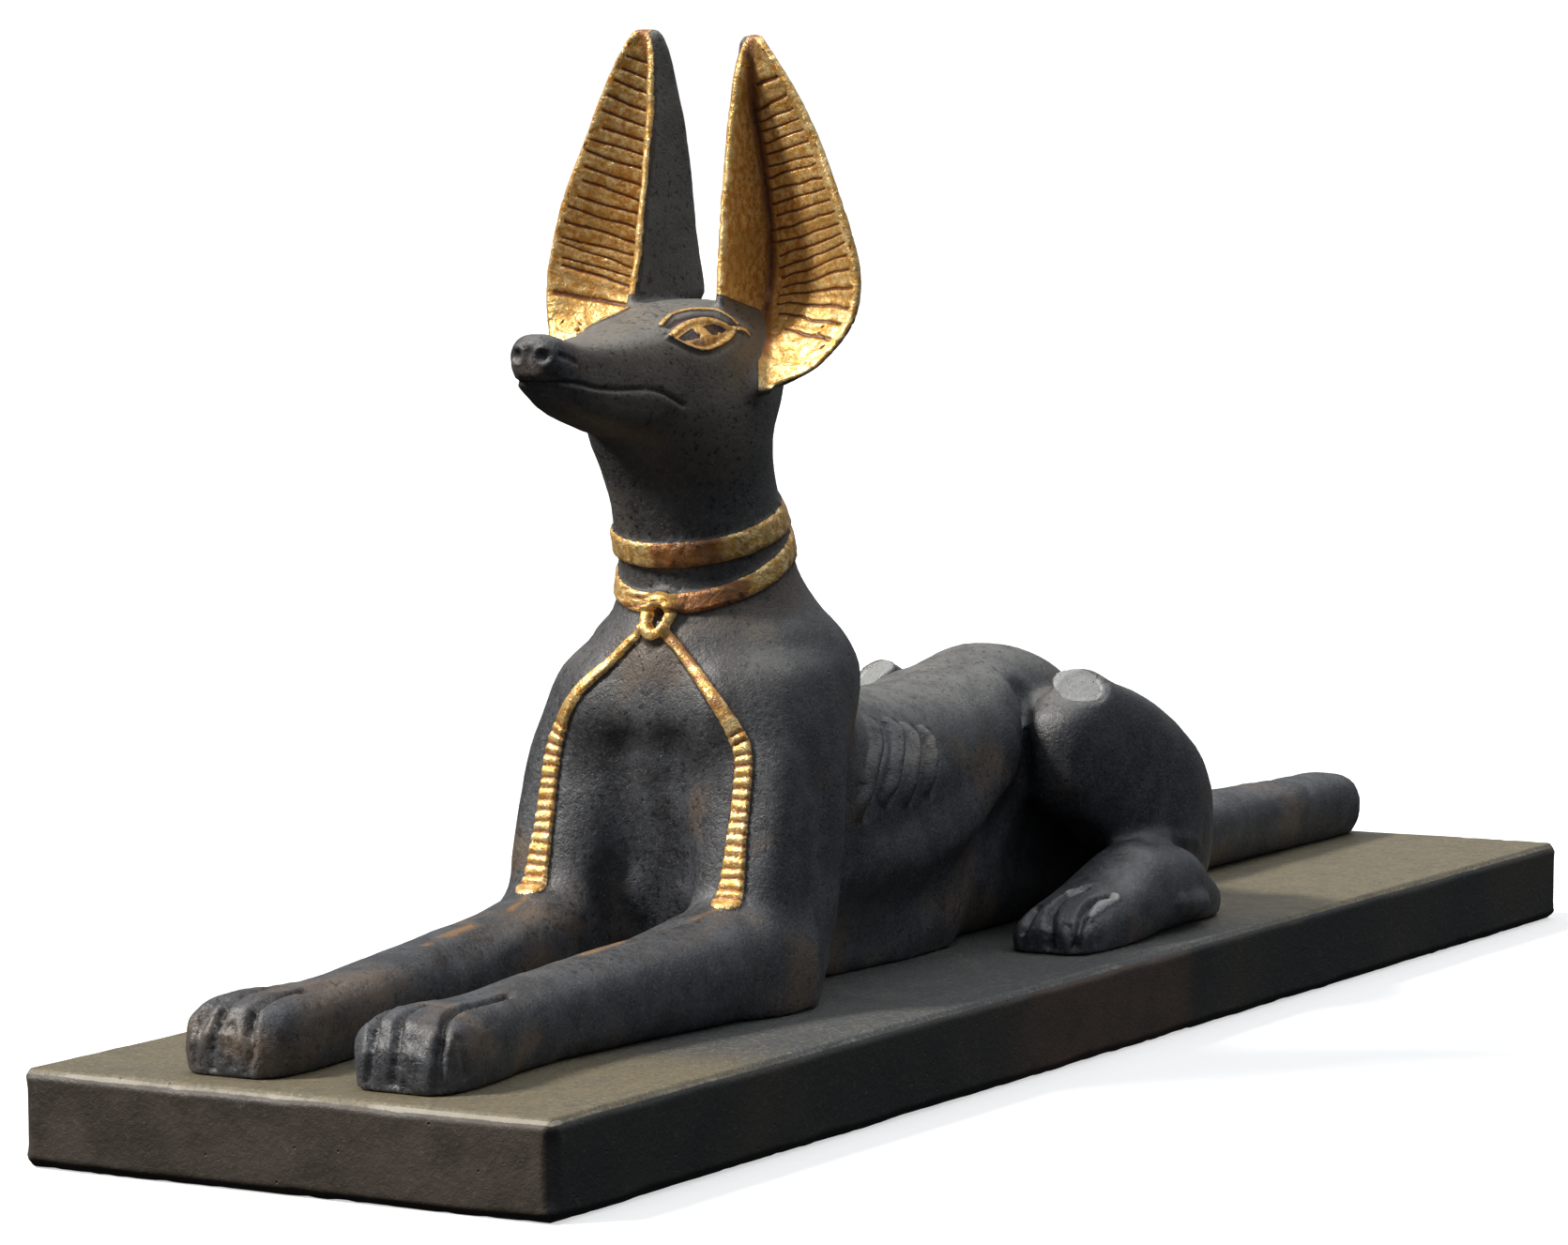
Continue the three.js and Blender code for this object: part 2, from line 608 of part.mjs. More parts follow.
function carve(field) {
  const lines = [
    [[MOUTH], MOUTH_LINE],
    [FORE_TOES, TOE_GROOVE],
    [HIND_TOES, TOE_GROOVE],
    [RIBS, RIB_RIDGE],
    [HIND_FOLDS, FOLD_RIDGE],
  ];
  const settled = lines.map(([chains, cut]) => [chains.map((chain) => field.settle(chain)), cut]);
  const ribbon = field.settle(RIBBON);
  for (const [chains, cut] of settled) for (const chain of chains) carveLine(field, chain, cut);
  field.press([0, -100, 88], [22, -50, 121], (x, y, z) => {
    const upper = Math.min(edge(UPPER_BAND_TOP, y) - z, z - edge(UPPER_BAND_LOW, y));
    const top = Math.min(edge(LOWER_BAND_TOP, y), edge(UPPER_BAND_LOW, y) - 0.6);
    const lower = Math.min(top - z, z - edge(LOWER_BAND_LOW, y));
    return -BAND_RELIEF * rise(Math.max(upper, lower), 0.6);
  });
  field.press(lowest(ribbon, 4), highest(ribbon, 4), (x, y, z) => {
    const near = along(ribbon, x, y, z);
    return near.d > 3.6 ? 0 : -RIBBON_RELIEF * rise(near.w - near.d, 0.6);
  });
  field.press([0, -102, KNOT_HEIGHT - 6], [5, -90, KNOT_HEIGHT + 6], (x, y, z) => {
    const r = Math.hypot(x / KNOT_HALF_WIDTH, (z - KNOT_HEIGHT) / KNOT_HALF_HEIGHT);
    const ring = rise((1 - r) * KNOT_HALF_WIDTH, 0.6) * rise((r - KNOT_HOLE) * KNOT_HALF_WIDTH, 0.6);
    return -KNOT_RELIEF * ring;
  });
  field.press(NOSTRIL.map((v) => v - 4), NOSTRIL.map((v) => v + 4), (x, y, z) => {
    const d = Math.hypot(x - NOSTRIL[0], y - NOSTRIL[1], z - NOSTRIL[2]);
    const t = Math.min(d / (1.8 * NOSTRIL_RADIUS), 1);
    return NOSTRIL_DEPTH * (1 - t * t) ** 2;
  });
}

function buildField() {
  const field = new Field([0, -216.9, FLOOR - GRID / 2], [49.4, 221, 205.5], GRID);
  field.add(loft(1, TRUNK, 2.2), 1);
  field.add(loft(1, BELLY, 3), 6);
  field.add(loft(1, LOIN, 2.6), 6);
  carveLine(field, FLANK_CREST, FLANK_RIDGE);
  carveLine(field, FLANK_HOLLOW, FLANK_DIP);
  carveLine(field, FLANK_VALLEY, VALLEY_DIP);
  field.add(loft(2, NECK, 2.1), 8);
  field.add(loft(1, HEAD), 4);
  field.add(ear(), 2.5);
  field.add(loft(2, UPPER_ARM, 2.7), 6);
  field.add(egg(...SHOULDER), 8);
  field.add(egg(...PECTORAL), 7);
  field.add(egg(...BREAST), 7);
  field.add(loft(1, FORELEG), 4);
  const leg = loft(1, HIND_LEG, 3);
  const knee = egg(...KNEE);
  const facet = behind(...KNEE_FACET);
  const thigh = leg.distance;
  const cap = (x, y, z) => common(knee.distance(x, y, z), facet(x, y, z), 0.8);
  leg.distance = (x, y, z) => blend(thigh(x, y, z), cap(x, y, z), 3);
  leg.hi[2] += 4;
  field.add(leg, 4.5);
  field.add(loft(1, HIND_FOOT, 2.4), 7.5);
  field.add(loft(1, TAIL, 2.5), 5);
  carve(field);
  field.closeBelow();
  return field;
}

// Surface where the distance is zero, from six tetrahedra in every grid cell, mirrored into a closed body.
function surface(field) {
  const [nx, ny, nz] = field.n;
  const { f, lo, step } = field;
  for (let at = 0; at < f.length; at++) {
    if (Math.abs(f[at]) < 1e-3) f[at] = f[at] < 0 ? -1e-3 : 1e-3;
  }
  const index = (i, j, k) => (i * ny + j) * nz + k;
  const corner = [[0, 0, 0], [1, 0, 0], [1, 1, 0], [0, 1, 0], [0, 0, 1], [1, 0, 1], [1, 1, 1], [0, 1, 1]];
  const tets = [[0, 5, 1, 6], [0, 1, 2, 6], [0, 2, 3, 6], [0, 3, 7, 6], [0, 7, 4, 6], [0, 4, 5, 6]];
  const points = [];
  const known = new Map();
  const triangles = [];
  const total = f.length;
  const position = (o) => [Math.floor(o / (ny * nz)), Math.floor(o / nz) % ny, o % nz];
  const vertex = (a, b) => {
    const [p, q] = a < b ? [a, b] : [b, a];
    const key = p * total + q;
    let id = known.get(key);
    if (id === undefined) {
      const cp = position(p);
      const cq = position(q);
      const t = cp[2] === 0 || cq[2] === 0 ? 0.5 : f[p] / (f[p] - f[q]);
      id = points.length;
      points.push(cp.map((c, i) => lo[i] + step * (c + (cq[i] - c) * t)));
      known.set(key, id);
    }
    return id;
  };
  for (let i = 0; i < nx - 1; i++) {
    for (let j = 0; j < ny - 1; j++) {
      for (let k = 0; k < nz - 1; k++) {
        const c = corner.map((d) => index(i + d[0], j + d[1], k + d[2]));
        let inside = 0;
        for (const at of c) inside += f[at] < 0 ? 1 : 0;
        if (inside === 0 || inside === 8) continue;
        for (const tet of tets) {
          const v = tet.map((t) => c[t]);
          const low = v.filter((at) => f[at] < 0);
          const high = v.filter((at) => f[at] > 0);
          if (low.length === 0 || high.length === 0) continue;
          let ring;
          if (low.length === 1) ring = high.map((h) => vertex(low[0], h));
          else if (high.length === 1) ring = low.map((l) => vertex(l, high[0]));
          else {
            const [a0, a1] = low;
            const [b0, b1] = high;
            ring = [vertex(a0, b0), vertex(a0, b1), vertex(a1, b1), vertex(a1, b0)];
          }
          const a = points[ring[0]];
          const b = points[ring[1]];
          const d = points[ring[2]];
          const u = b.map((s, m) => s - a[m]);
          const w = d.map((s, m) => s - a[m]);
          const n = [u[1] * w[2] - u[2] * w[1], u[2] * w[0] - u[0] * w[2], u[0] * w[1] - u[1] * w[0]];
          const out = [0, 0, 0];
          for (const h of high) position(h).forEach((s, m) => { out[m] += s / high.length; });
          for (const l of low) position(l).forEach((s, m) => { out[m] -= s / low.length; });
          if (n[0] * out[0] + n[1] * out[1] + n[2] * out[2] < 0) ring.reverse();
          triangles.push([ring[0], ring[1], ring[2]]);
          if (ring.length === 4) triangles.push([ring[0], ring[2], ring[3]]);
        }
      }
    }
  }
  const count = points.length;
  const twin = new Array(count);
  for (let i = 0; i < count; i++) {
    if (points[i][0] < 1e-6) {
      points[i][0] = 0;
      twin[i] = i;
    } else {
      twin[i] = points.length;
      points.push([-points[i][0], points[i][1], points[i][2]]);
    }
  }
  for (const t of triangles.slice()) triangles.push([twin[t[0]], twin[t[2]], twin[t[1]]]);
  return { points, triangles };
}

// Sum of squared distances to a set of planes, kept as the ten numbers of a symmetric 4 x 4 matrix.
const planeError = (q, x, y, z) =>
  q[0] * x * x + q[4] * y * y + q[7] * z * z + q[9]
  + 2 * (q[1] * x * y + q[2] * x * z + q[3] * x + q[5] * y * z + q[6] * y + q[8] * z);

// Point with the least plane error, or null where it is not well defined.
function bestPoint(q) {
  const [a, b, c, d, e, f, g, h, i] = q;
  const det = a * (e * h - f * f) - b * (b * h - f * c) + c * (b * f - e * c);
  const size = (a + e + h) / 3;
  if (Math.abs(det) < 1e-4 * size ** 3) return null;
  const x = -(d * (e * h - f * f) - b * (g * h - f * i) + c * (g * f - e * i)) / det;
  const y = -(a * (g * h - i * f) - d * (b * h - f * c) + c * (b * i - g * c)) / det;
  const z = -(a * (e * i - f * g) - b * (b * i - g * c) + d * (b * f - e * c)) / det;
  return [x, y, z];
}

// Least-first queue of proposals.
class Queue {
  constructor() {
    this.items = [];
  }
  push(item) {
    const a = this.items;
    let i = a.length;
    a.push(item);
    while (i > 0) {
      const up = (i - 1) >> 1;
      if (a[up].cost <= item.cost) break;
      a[i] = a[up];
      i = up;
    }
    a[i] = item;
  }
  pop() {
    const a = this.items;
    const top = a[0];
    const item = a.pop();
    if (a.length > 0) {
      let i = 0;
      for (;;) {
        let next = 2 * i + 1;
        if (next >= a.length) break;
        if (next + 1 < a.length && a[next + 1].cost < a[next].cost) next++;
        if (a[next].cost >= item.cost) break;
        a[i] = a[next];
        i = next;
      }
      a[i] = item;
    }
    return top;
  }
}

const cross = (u, v) => [u[1] * v[2] - u[2] * v[1], u[2] * v[0] - u[0] * v[2], u[0] * v[1] - u[1] * v[0]];
const minus = (a, b) => [a[0] - b[0], a[1] - b[1], a[2] - b[2]];
const dot = (a, b) => a[0] * b[0] + a[1] * b[1] + a[2] * b[2];

// Fewer, larger triangles: the edge that costs the least accuracy is drawn together first.
function reduce(mesh, target) {
  const points = mesh.points.map((p) => p.slice());
  const faces = mesh.triangles.map((t) => t.slice());
  const around = points.map(() => new Set());
  const quadric = points.map(() => new Float64Array(10));
  const version = new Int32Array(points.length);
  const alive = new Uint8Array(points.length).fill(1);
  const faceNormal = (t) => cross(minus(points[t[1]], points[t[0]]), minus(points[t[2]], points[t[0]]));
  faces.forEach((t, id) => {
    const n = faceNormal(t);
    const area = Math.hypot(...n);
    t.forEach((v) => around[v].add(id));
    if (area < 1e-9) return;
    const [a, b, c] = n.map((s) => s / area);
    const d = -(a * points[t[0]][0] + b * points[t[0]][1] + c * points[t[0]][2]);
    const q = [a * a, a * b, a * c, a * d, b * b, b * c, b * d, c * c, c * d, d * d];
    for (const v of t) for (let i = 0; i < 10; i++) quadric[v][i] += q[i] * area;
  });
  const neighbours = (v) => {
    const out = new Set();
    for (const id of around[v]) for (const w of faces[id]) if (w !== v) out.add(w);
    return out;
  };
  const queue = new Queue();
  const propose = (a, b) => {
    const q = quadric[a].map((s, i) => s + quadric[b][i]);
    const pa = points[a];
    const pb = points[b];
    const mid = pa.map((s, i) => (s + pb[i]) / 2);
    const length = Math.hypot(...minus(pa, pb));
    let at = bestPoint(q);
    if (at && Math.hypot(...minus(at, mid)) > length) at = null;
    if (!at) {
      at = [mid, pa, pb].reduce((m, p) => (planeError(q, ...p) < planeError(q, ...m) ? p : m)).slice();
    }
    const cost = Math.max(planeError(q, ...at), 0) + 1e-4 * length * length;
    queue.push({ cost, a, b, at, stamp: version[a] + version[b] });
  };
  const proposeAll = () => {
    const seen = new Set();
    for (const t of faces) {
      if (!t) continue;
      for (let i = 0; i < 3; i++) {
        const a = Math.min(t[i], t[(i + 1) % 3]);
        const b = Math.max(t[i], t[(i + 1) % 3]);
        const key = a * points.length + b;
        if (seen.has(key)) continue;
        seen.add(key);
        propose(a, b);
      }
    }
  };
  const roundness = (corners) => {
    const sides = [0, 1, 2].map((i) => {
      const side = minus(corners[i], corners[(i + 1) % 3]);
      return dot(side, side);
    });
    const twice = cross(minus(corners[1], corners[0]), minus(corners[2], corners[0]));
    return Math.hypot(...twice) / Math.max(...sides);
  };
  const keepsShape = (v, other, at) => {
    for (const id of around[v]) {
      const t = faces[id];
      if (t.includes(other)) continue;
      const before = faceNormal(t);
      const corners = t.map((w) => (w === v ? at : points[w]));
      const after = cross(minus(corners[1], corners[0]), minus(corners[2], corners[0]));
      const la = Math.hypot(...after);
      const lb = Math.hypot(...before);
      if (la < 1e-7) return false;
      if (lb > 1e-7 && dot(before, after) < 0.25 * la * lb) return false;
      if (roundness(corners) < Math.min(0.05, 0.9 * roundness(t.map((w) => points[w])))) return false;
    }
    return true;
  };
  let left = faces.length;
  let atLastSweep = Infinity;
  while (left > target) {
    if (queue.items.length === 0) {
      if (left > 0.99 * atLastSweep) break;
      atLastSweep = left;
      proposeAll();
    }
    const { a, b, at, stamp } = queue.pop();
    if (!alive[a] || !alive[b] || stamp !== version[a] + version[b]) continue;
    const na = neighbours(a);
    const nb = neighbours(b);
    let shared = 0;
    for (const w of na) if (nb.has(w)) shared++;
    if (shared !== 2 || na.size + nb.size - 4 < 3) continue;
    if (!keepsShape(a, b, at) || !keepsShape(b, a, at)) continue;
    points[a] = at;
    for (let i = 0; i < 10; i++) quadric[a][i] += quadric[b][i];
    alive[b] = 0;
    for (const id of [...around[b]]) {
      const t = faces[id];
      if (t.includes(a)) {
        t.forEach((w) => around[w].delete(id));
        faces[id] = null;
        left--;
      } else {
        t[t.indexOf(b)] = a;
        around[a].add(id);
      }
    }
    around[b].clear();
    version[a] += 1;
    for (const w of neighbours(a)) propose(a, w);
  }
  const id = new Map();
  const outPoints = [];
  const outFaces = [];
  for (const t of faces) {
    if (!t) continue;
    outFaces.push(t.map((v) => {
      if (!id.has(v)) {
        id.set(v, outPoints.length);
        outPoints.push(points[v]);
      }
      return id.get(v);
    }));
  }
  return { points: outPoints, triangles: outFaces };
}

// Slab with every edge chamfered, standing on z = 0.
function chamferedSlab(width, length, height, chamfer, cornerChamfer) {
  const half = [width / 2, length / 2, height / 2];
  const points = [];
  const corner = {};
  for (const sx of [-1, 1]) {
    for (const sy of [-1, 1]) {
      for (const sz of [-1, 1]) {
        const at = points.length;
        points.push([sx * half[0], sy * (half[1] - cornerChamfer), half[2] + sz * (half[2] - chamfer)]);
        points.push([sx * (half[0] - cornerChamfer), sy * half[1], half[2] + sz * (half[2] - chamfer)]);
        points.push([sx * (half[0] - chamfer), sy * (half[1] - chamfer), half[2] + sz * half[2]]);
        corner[[sx, sy, sz]] = [at, at + 1, at + 2];
      }
    }
  }
  const rings = [];
  const sign = [-1, 1];
  for (const s of sign) {
    rings.push([[s, -1, -1], [s, 1, -1], [s, 1, 1], [s, -1, 1]].map((c) => corner[c][0]));
    rings.push([[-1, s, -1], [1, s, -1], [1, s, 1], [-1, s, 1]].map((c) => corner[c][1]));
    rings.push([[-1, -1, s], [1, -1, s], [1, 1, s], [-1, 1, s]].map((c) => corner[c][2]));
    for (const r of sign) {
      const edge = (a, b, i, j) => rings.push([corner[a][i], corner[b][i], corner[b][j], corner[a][j]]);
      edge([s, r, -1], [s, r, 1], 0, 1);
      edge([s, -1, r], [s, 1, r], 0, 2);
      edge([-1, s, r], [1, s, r], 1, 2);
      for (const q of sign) rings.push(corner[[s, r, q]].slice());
    }
  }
  const centre = [0, 0, half[2]];
  const triangles = [];
  for (const ring of rings) {
    const n = cross(minus(points[ring[1]], points[ring[0]]), minus(points[ring[2]], points[ring[0]]));
    if (dot(n, minus(points[ring[0]], centre)) < 0) ring.reverse();
    for (let i = 1; i + 1 < ring.length; i++) triangles.push([ring[0], ring[i], ring[i + 1]]);
  }
  return { points, triangles };
}

function solid(name, mesh, material) {
  const geometry = new THREE.BufferGeometry();
  geometry.setAttribute('position', new THREE.Float32BufferAttribute(mesh.points.flat(), 3));
  geometry.setIndex(mesh.triangles.flat());
  geometry.computeVertexNormals();
  const out = new THREE.Mesh(geometry, material);
  out.name = name;
  return out;
}

const coat = new THREE.MeshStandardMaterial({ color: 0x2b2d30, roughness: 0.5, metalness: 0 });
const slabPaint = new THREE.MeshStandardMaterial({ color: 0x3a372c, roughness: 0.6, metalness: 0 });

const group = new THREE.Group();
group.name = 'anubis_statue';
group.add(solid('anubis_figure', reduce(surface(buildField()), FIGURE_TRIANGLES), coat));
group.add(solid(
  'plinth',
  chamferedSlab(PLINTH_WIDTH, PLINTH_LENGTH, PLINTH_HEIGHT, PLINTH_CHAMFER, PLINTH_CORNER_CHAMFER),
  slabPaint,
));

export default group;
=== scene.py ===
"""Looks of a lying jackal statue on its plinth: carving, paint and gilding, light and camera."""
import math

import bpy
import numpy as np
from mathutils import Matrix, Vector


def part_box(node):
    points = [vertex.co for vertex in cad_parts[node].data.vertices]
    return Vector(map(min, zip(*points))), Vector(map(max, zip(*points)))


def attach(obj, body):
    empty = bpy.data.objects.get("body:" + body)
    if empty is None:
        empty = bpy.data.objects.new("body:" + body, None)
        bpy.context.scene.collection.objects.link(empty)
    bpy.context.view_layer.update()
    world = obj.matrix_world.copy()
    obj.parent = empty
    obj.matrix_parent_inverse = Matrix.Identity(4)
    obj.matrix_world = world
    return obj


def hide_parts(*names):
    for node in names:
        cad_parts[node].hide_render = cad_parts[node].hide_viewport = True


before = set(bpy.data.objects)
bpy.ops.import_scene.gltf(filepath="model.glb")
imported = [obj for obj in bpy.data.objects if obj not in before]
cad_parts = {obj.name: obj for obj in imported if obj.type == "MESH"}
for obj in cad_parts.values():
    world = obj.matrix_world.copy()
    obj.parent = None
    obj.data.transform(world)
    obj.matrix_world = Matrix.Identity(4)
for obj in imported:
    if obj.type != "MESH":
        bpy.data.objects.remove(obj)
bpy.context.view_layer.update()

MM = 0.001

# Shape of the body.
# The figure is one smooth body, the zero surface of a distance field in millimetres.
# Stations are given for the animal's left half (+X) and mirrored.

TRUNK = [  # y, x, z of the axis, half width, height above, depth below
    (-86, 0, 56, 17, 22, 26), (-76, 0, 56, 20, 22.5, 34), (-66, 0, 56, 21.5, 22, 40),
    (-52, 0, 54, 22, 21.5, 42), (-36, 0, 52.5, 22.5, 20.5, 40), (-20, 0, 52, 22, 19.6, 38),
    (-8, 0, 53, 21, 18.2, 34), (4, 0, 55, 19.5, 16.4, 25), (18, 0, 56, 18, 17.7, 21),
    (32, 0, 56, 17.5, 20.3, 22), (44, 0, 54, 18.5, 21.6, 24), (56, 0, 50, 19.5, 20.3, 26),
    (66, 0, 45, 19, 19.3, 25), (76, 0, 39, 17.5, 19, 22), (86, 0, 33.5, 14, 14, 16), (92, 0, 30, 10, 10, 12)]
BELLY = [(-88, 0, 34, 13, 20, 24), (-70, 0, 34, 15, 20, 24), (-45, 0, 34, 16, 20, 24),
    (-25, 0, 34, 18, 20, 24), (-8, 0, 34, 18, 18, 22), (2, 0, 38, 15.5, 14, 20)]
LOIN = [  # core between the belly and the seat, down to the plinth
    (-30, 0, 32, 12, 16, 18), (-4, 0, 33, 14.5, 16, 18), (14, 0, 34, 14.5, 16, 18), (28, 0, 33, 12.5, 15, 18),
    (45, 0, 32, 12, 14, 16), (70, 0, 30, 13, 14, 16)]
# Crest along the flank, the hollow under it and the valley before the thigh: half width, depth and points.
FLANK = [
    (5.5, -1.6, [(15.2, 18, 68), (17.6, 15.5, 63), (18.6, 13.5, 57), (18.6, 10.5, 51.5), (19, 4, 47.4),
        (20.7, -8.5, 44.6), (21.6, -21.7, 41.5), (21.9, -34.8, 39.4), (21.6, -50, 38.6)]),
    (6.5, 2.4, [(15, 14, 42), (17, 4, 37), (18.5, -8, 33.5), (19, -22, 30.5), (19, -36, 29),
        (19, -52, 28)]),
    (3.0, 2.0, [(15, 26, 67), (17, 23.8, 61), (17.5, 22.3, 55), (17, 21, 48), (15.5, 19, 42)])]
NECK = [  # z, x, y of the axis, half width, depth behind, depth in front
    (17, 0, -82, 15, 10, 8), (30, 0, -82, 17, 10, 9.5), (40, 0, -81, 20, 12, 12.5), (50, 0, -79, 22, 14, 16),
    (58, 0, -78, 24, 17, 18.8), (65, 0, -77, 25, 20, 20.5), (73, 0, -76, 25.5, 23.2, 23.2),
    (80, 0, -75, 25, 25.9, 23.2), (86, 0, -74.5, 22, 25.4, 22.4), (92, 0, -74.5, 18.6, 22.6, 19.3),
    (100, 0, -76.5, 16.5, 18.7, 17.1), (107.6, 0, -78.6, 16.2, 17, 17.1), (113.2, 0, -81, 15.7, 16.6, 16.8),
    (118.7, 0, -83.3, 16, 17, 17.5), (124.2, 0, -85.2, 16.8, 18, 19), (130, 0, -86, 17, 19, 20),
    (136, 0, -85.5, 15.5, 17.5, 15), (141, 0, -84, 11, 12, 9), (144, 0, -83, 5, 6, 4)]
HEAD = [  # y, x, z of the axis, half width, height above, depth below, squareness
    (-138.6, 0, 141.2, 3.8, 3.4, 3.2, 2.4), (-137.2, 0, 141, 5.1, 4.7, 4.2, 2.6),
    (-134, 0, 139.9, 5.8, 5.4, 6.2, 2.8), (-130, 0, 139.2, 6.1, 5.1, 7.8, 3.2),
    (-125, 0, 138.8, 6.9, 5.3, 9.2, 3.6), (-118, 0, 138.4, 8.4, 6.3, 10.6, 3.5),
    (-111, 0, 138, 10.2, 7.9, 11.8, 3.2), (-104, 0, 138, 12.4, 9.8, 12.8, 2.8),
    (-97, 0, 138, 14.8, 11.4, 13.6, 2.6), (-90, 0, 138, 16.4, 12.6, 14.4, 2.4),
    (-82, 0, 138, 17.0, 13.2, 15, 2.3), (-74, 0, 138, 15.6, 12.6, 16, 2.1), (-68, 0, 137, 12.0, 9.2, 13, 2.0),
    (-64.5, 0, 136, 6, 4.5, 7, 2.0)]
EAR = [  # z, then x and y of the inner edge, the fold and the outer edge
    (133.5, 12, -84, 17.5, -87.5, 20.5, -89), (136, 11, -86, 17.5, -86.5, 24.5, -86.8),
    (139, 10.5, -87, 16.5, -84.5, 28.6, -84), (144, 10, -87.4, 13, -78.5, 32, -80.8),
    (148, 9.9, -87.3, 9.4, -71.5, 33.6, -79), (152, 9.8, -87.1, 7.6, -67.2, 34.2, -78.2),
    (155, 9.6, -86.8, 8, -67, 34.2, -78), (160, 9.3, -85.8, 8.6, -67.4, 33.3, -77.9),
    (165, 9.2, -85.1, 8.8, -68.1, 31.9, -78.1), (170, 9.1, -84.3, 8.8, -69, 30.2, -78.3),
    (175, 9.1, -83.3, 8.7, -70.2, 28.1, -78.2), (180, 9.1, -82.4, 8.7, -71.7, 25.9, -77.9),
    (185, 9.1, -81.6, 8.6, -73.2, 23.5, -78.1), (190, 9.4, -80.8, 8.8, -74.8, 20.9, -78.5),
    (195, 9.8, -80, 9.2, -76.2, 17.8, -79.1), (199.4, 10.8, -78.9, 10.3, -77.5, 14.6, -79.3),
    (201.6, 12, -78.3, 11.6, -77.9, 12.6, -78.6)]
UPPER_ARM = [  # z, x, y of the axis, half width, depth behind, depth in front
    (17, 21, -99, 11.8, 16, 14), (30, 20.8, -96.5, 11.4, 22.5, 12.2), (40, 20.5, -93.5, 11, 23.5, 10.8),
    (52, 20.2, -90.5, 10.9, 22.5, 10.6), (64, 19.3, -87, 10.9, 20.5, 11.4), (74, 17.6, -84, 10.6, 16, 12),
    (80, 16.4, -82.5, 9.8, 12, 11.2), (86, 13, -79, 6.5, 7.5, 7)]
FORELEG = [  # y, x, z of the axis, half width, height above, depth below, squareness
    (-210.6, 17.9, 22, 7.5, 4, 6.5, 3), (-207.6, 17.9, 23, 10.2, 7.4, 9, 3),
    (-200, 17.8, 23.6, 10.9, 8.1, 9, 3), (-190, 17.6, 23.6, 9.9, 7.7, 9, 2.9),
    (-180, 17.3, 24, 8.8, 7.6, 9, 2.6), (-168, 17.2, 24.6, 8.7, 8.2, 9, 2.4),
    (-156, 17.8, 25, 9.1, 8.6, 9, 2.4), (-140, 18.5, 25.2, 9.9, 9.7, 9, 2.4),
    (-120, 19.5, 25.8, 11.4, 10.5, 10, 2.4), (-106, 20.2, 26.3, 12.2, 11.8, 10, 2.4),
    (-92, 21, 26.5, 12, 10.6, 10, 2.4)]
HIND_LEG = [(20.8, 23.2, 57.5, 2.4, 2.8, 5), (22.1, 23.3, 57.3, 5.2, 5.8, 10),
    (25, 23.6, 57, 7.1, 8.4, 13.5), (30, 24.0, 56.8, 8, 11.2, 16), (37, 24.4, 55.5, 8.6, 13.8, 18),
    (45, 24.8, 52.5, 9.6, 15.8, 20), (54, 25.2, 48.5, 10.3, 16.6, 20), (63, 25.6, 43.5, 10.6, 16.9, 21),
    (71, 25.4, 39.5, 10.4, 16.2, 20), (78, 24.8, 37, 9.2, 13.6, 16), (84, 23.8, 36.5, 6.6, 9.8, 11),
    (88, 22.6, 37, 3.2, 5, 5)]
HIND_FOOT = [(-5.5, 36.5, 20.5, 6, 2.6, 5), (-3.5, 36.5, 21, 8.4, 3.8, 7), (2, 36.5, 21.5, 9.6, 5.2, 8),
    (8, 36.6, 22, 10, 6.4, 8), (14, 36.7, 22.5, 10.2, 7.4, 8), (22, 36.7, 23.5, 10.4, 9.2, 8),
    (34, 36.5, 25, 10.4, 11, 8), (50, 36, 25, 9.4, 9.4, 8), (60, 35.5, 23, 8, 5.2, 8),
    (67.5, 35.2, 21.5, 6, 3.2, 6)]
TAIL = [(80, 0, 30, 11, 12, 12), (100, 0, 26, 10.4, 9.2, 9), (120, 0, 26, 10.4, 8.6, 9),
    (150, 0, 26, 9.6, 8, 9), (190, 0, 25.5, 8.6, 7.6, 9), (208, 0, 25.5, 8.4, 7.4, 9),
    (214, 0, 25.2, 7.6, 6.6, 8.5), (217.5, 0, 24.6, 5, 4.6, 6)]


def curve(xs, ys, x):
    """Smooth curve through (xs, ys) that adds no waves of its own."""
    xs = np.asarray(xs, float)
    ys = np.asarray(ys, float)
    h = np.diff(xs)
    s = np.diff(ys) / h
    m = np.zeros(len(xs))
    m[0], m[-1] = s[0], s[-1]
    for i in range(1, len(xs) - 1):
        if s[i - 1] * s[i] > 0:
            w1 = 2 * h[i] + h[i - 1]
            w2 = h[i] + 2 * h[i - 1]
            m[i] = (w1 + w2) / (w1 / s[i - 1] + w2 / s[i])
    i = np.clip(np.searchsorted(xs, x) - 1, 0, len(xs) - 2)
    t = np.clip((x - xs[i]) / h[i], 0, 1)
    a = 2 * t ** 3 - 3 * t ** 2 + 1
    return (a * ys[i] + (t ** 3 - 2 * t ** 2 + t) * h[i] * m[i] + (1 - a) * ys[i + 1]
            + (t ** 3 - t ** 2) * h[i] * m[i + 1])


def table(stations):
    """Finely spaced columns of a station list, along its first column."""
    st = np.array(stations, float)
    s = np.arange(st[0, 0], st[-1, 0] + 0.2, 0.25)
    return s, [curve(st[:, 0], st[:, j], s) for j in range(1, st.shape[1])]


def smin(a, b, k):
    """Lower of two distances, rounded over k."""
    h = np.maximum(k - np.abs(a - b), 0) / k
    return np.minimum(a, b) - h * h * k / 4


def smax(a, b, k):
    """Higher of two distances, rounded over k."""
    return -smin(-a, -b, k)


def step01(d, w):
    """0 below -w, 1 above w, smooth between."""
    t = np.clip(d / (2 * w) + 0.5, 0, 1)
    return t * t * (3 - 2 * t)


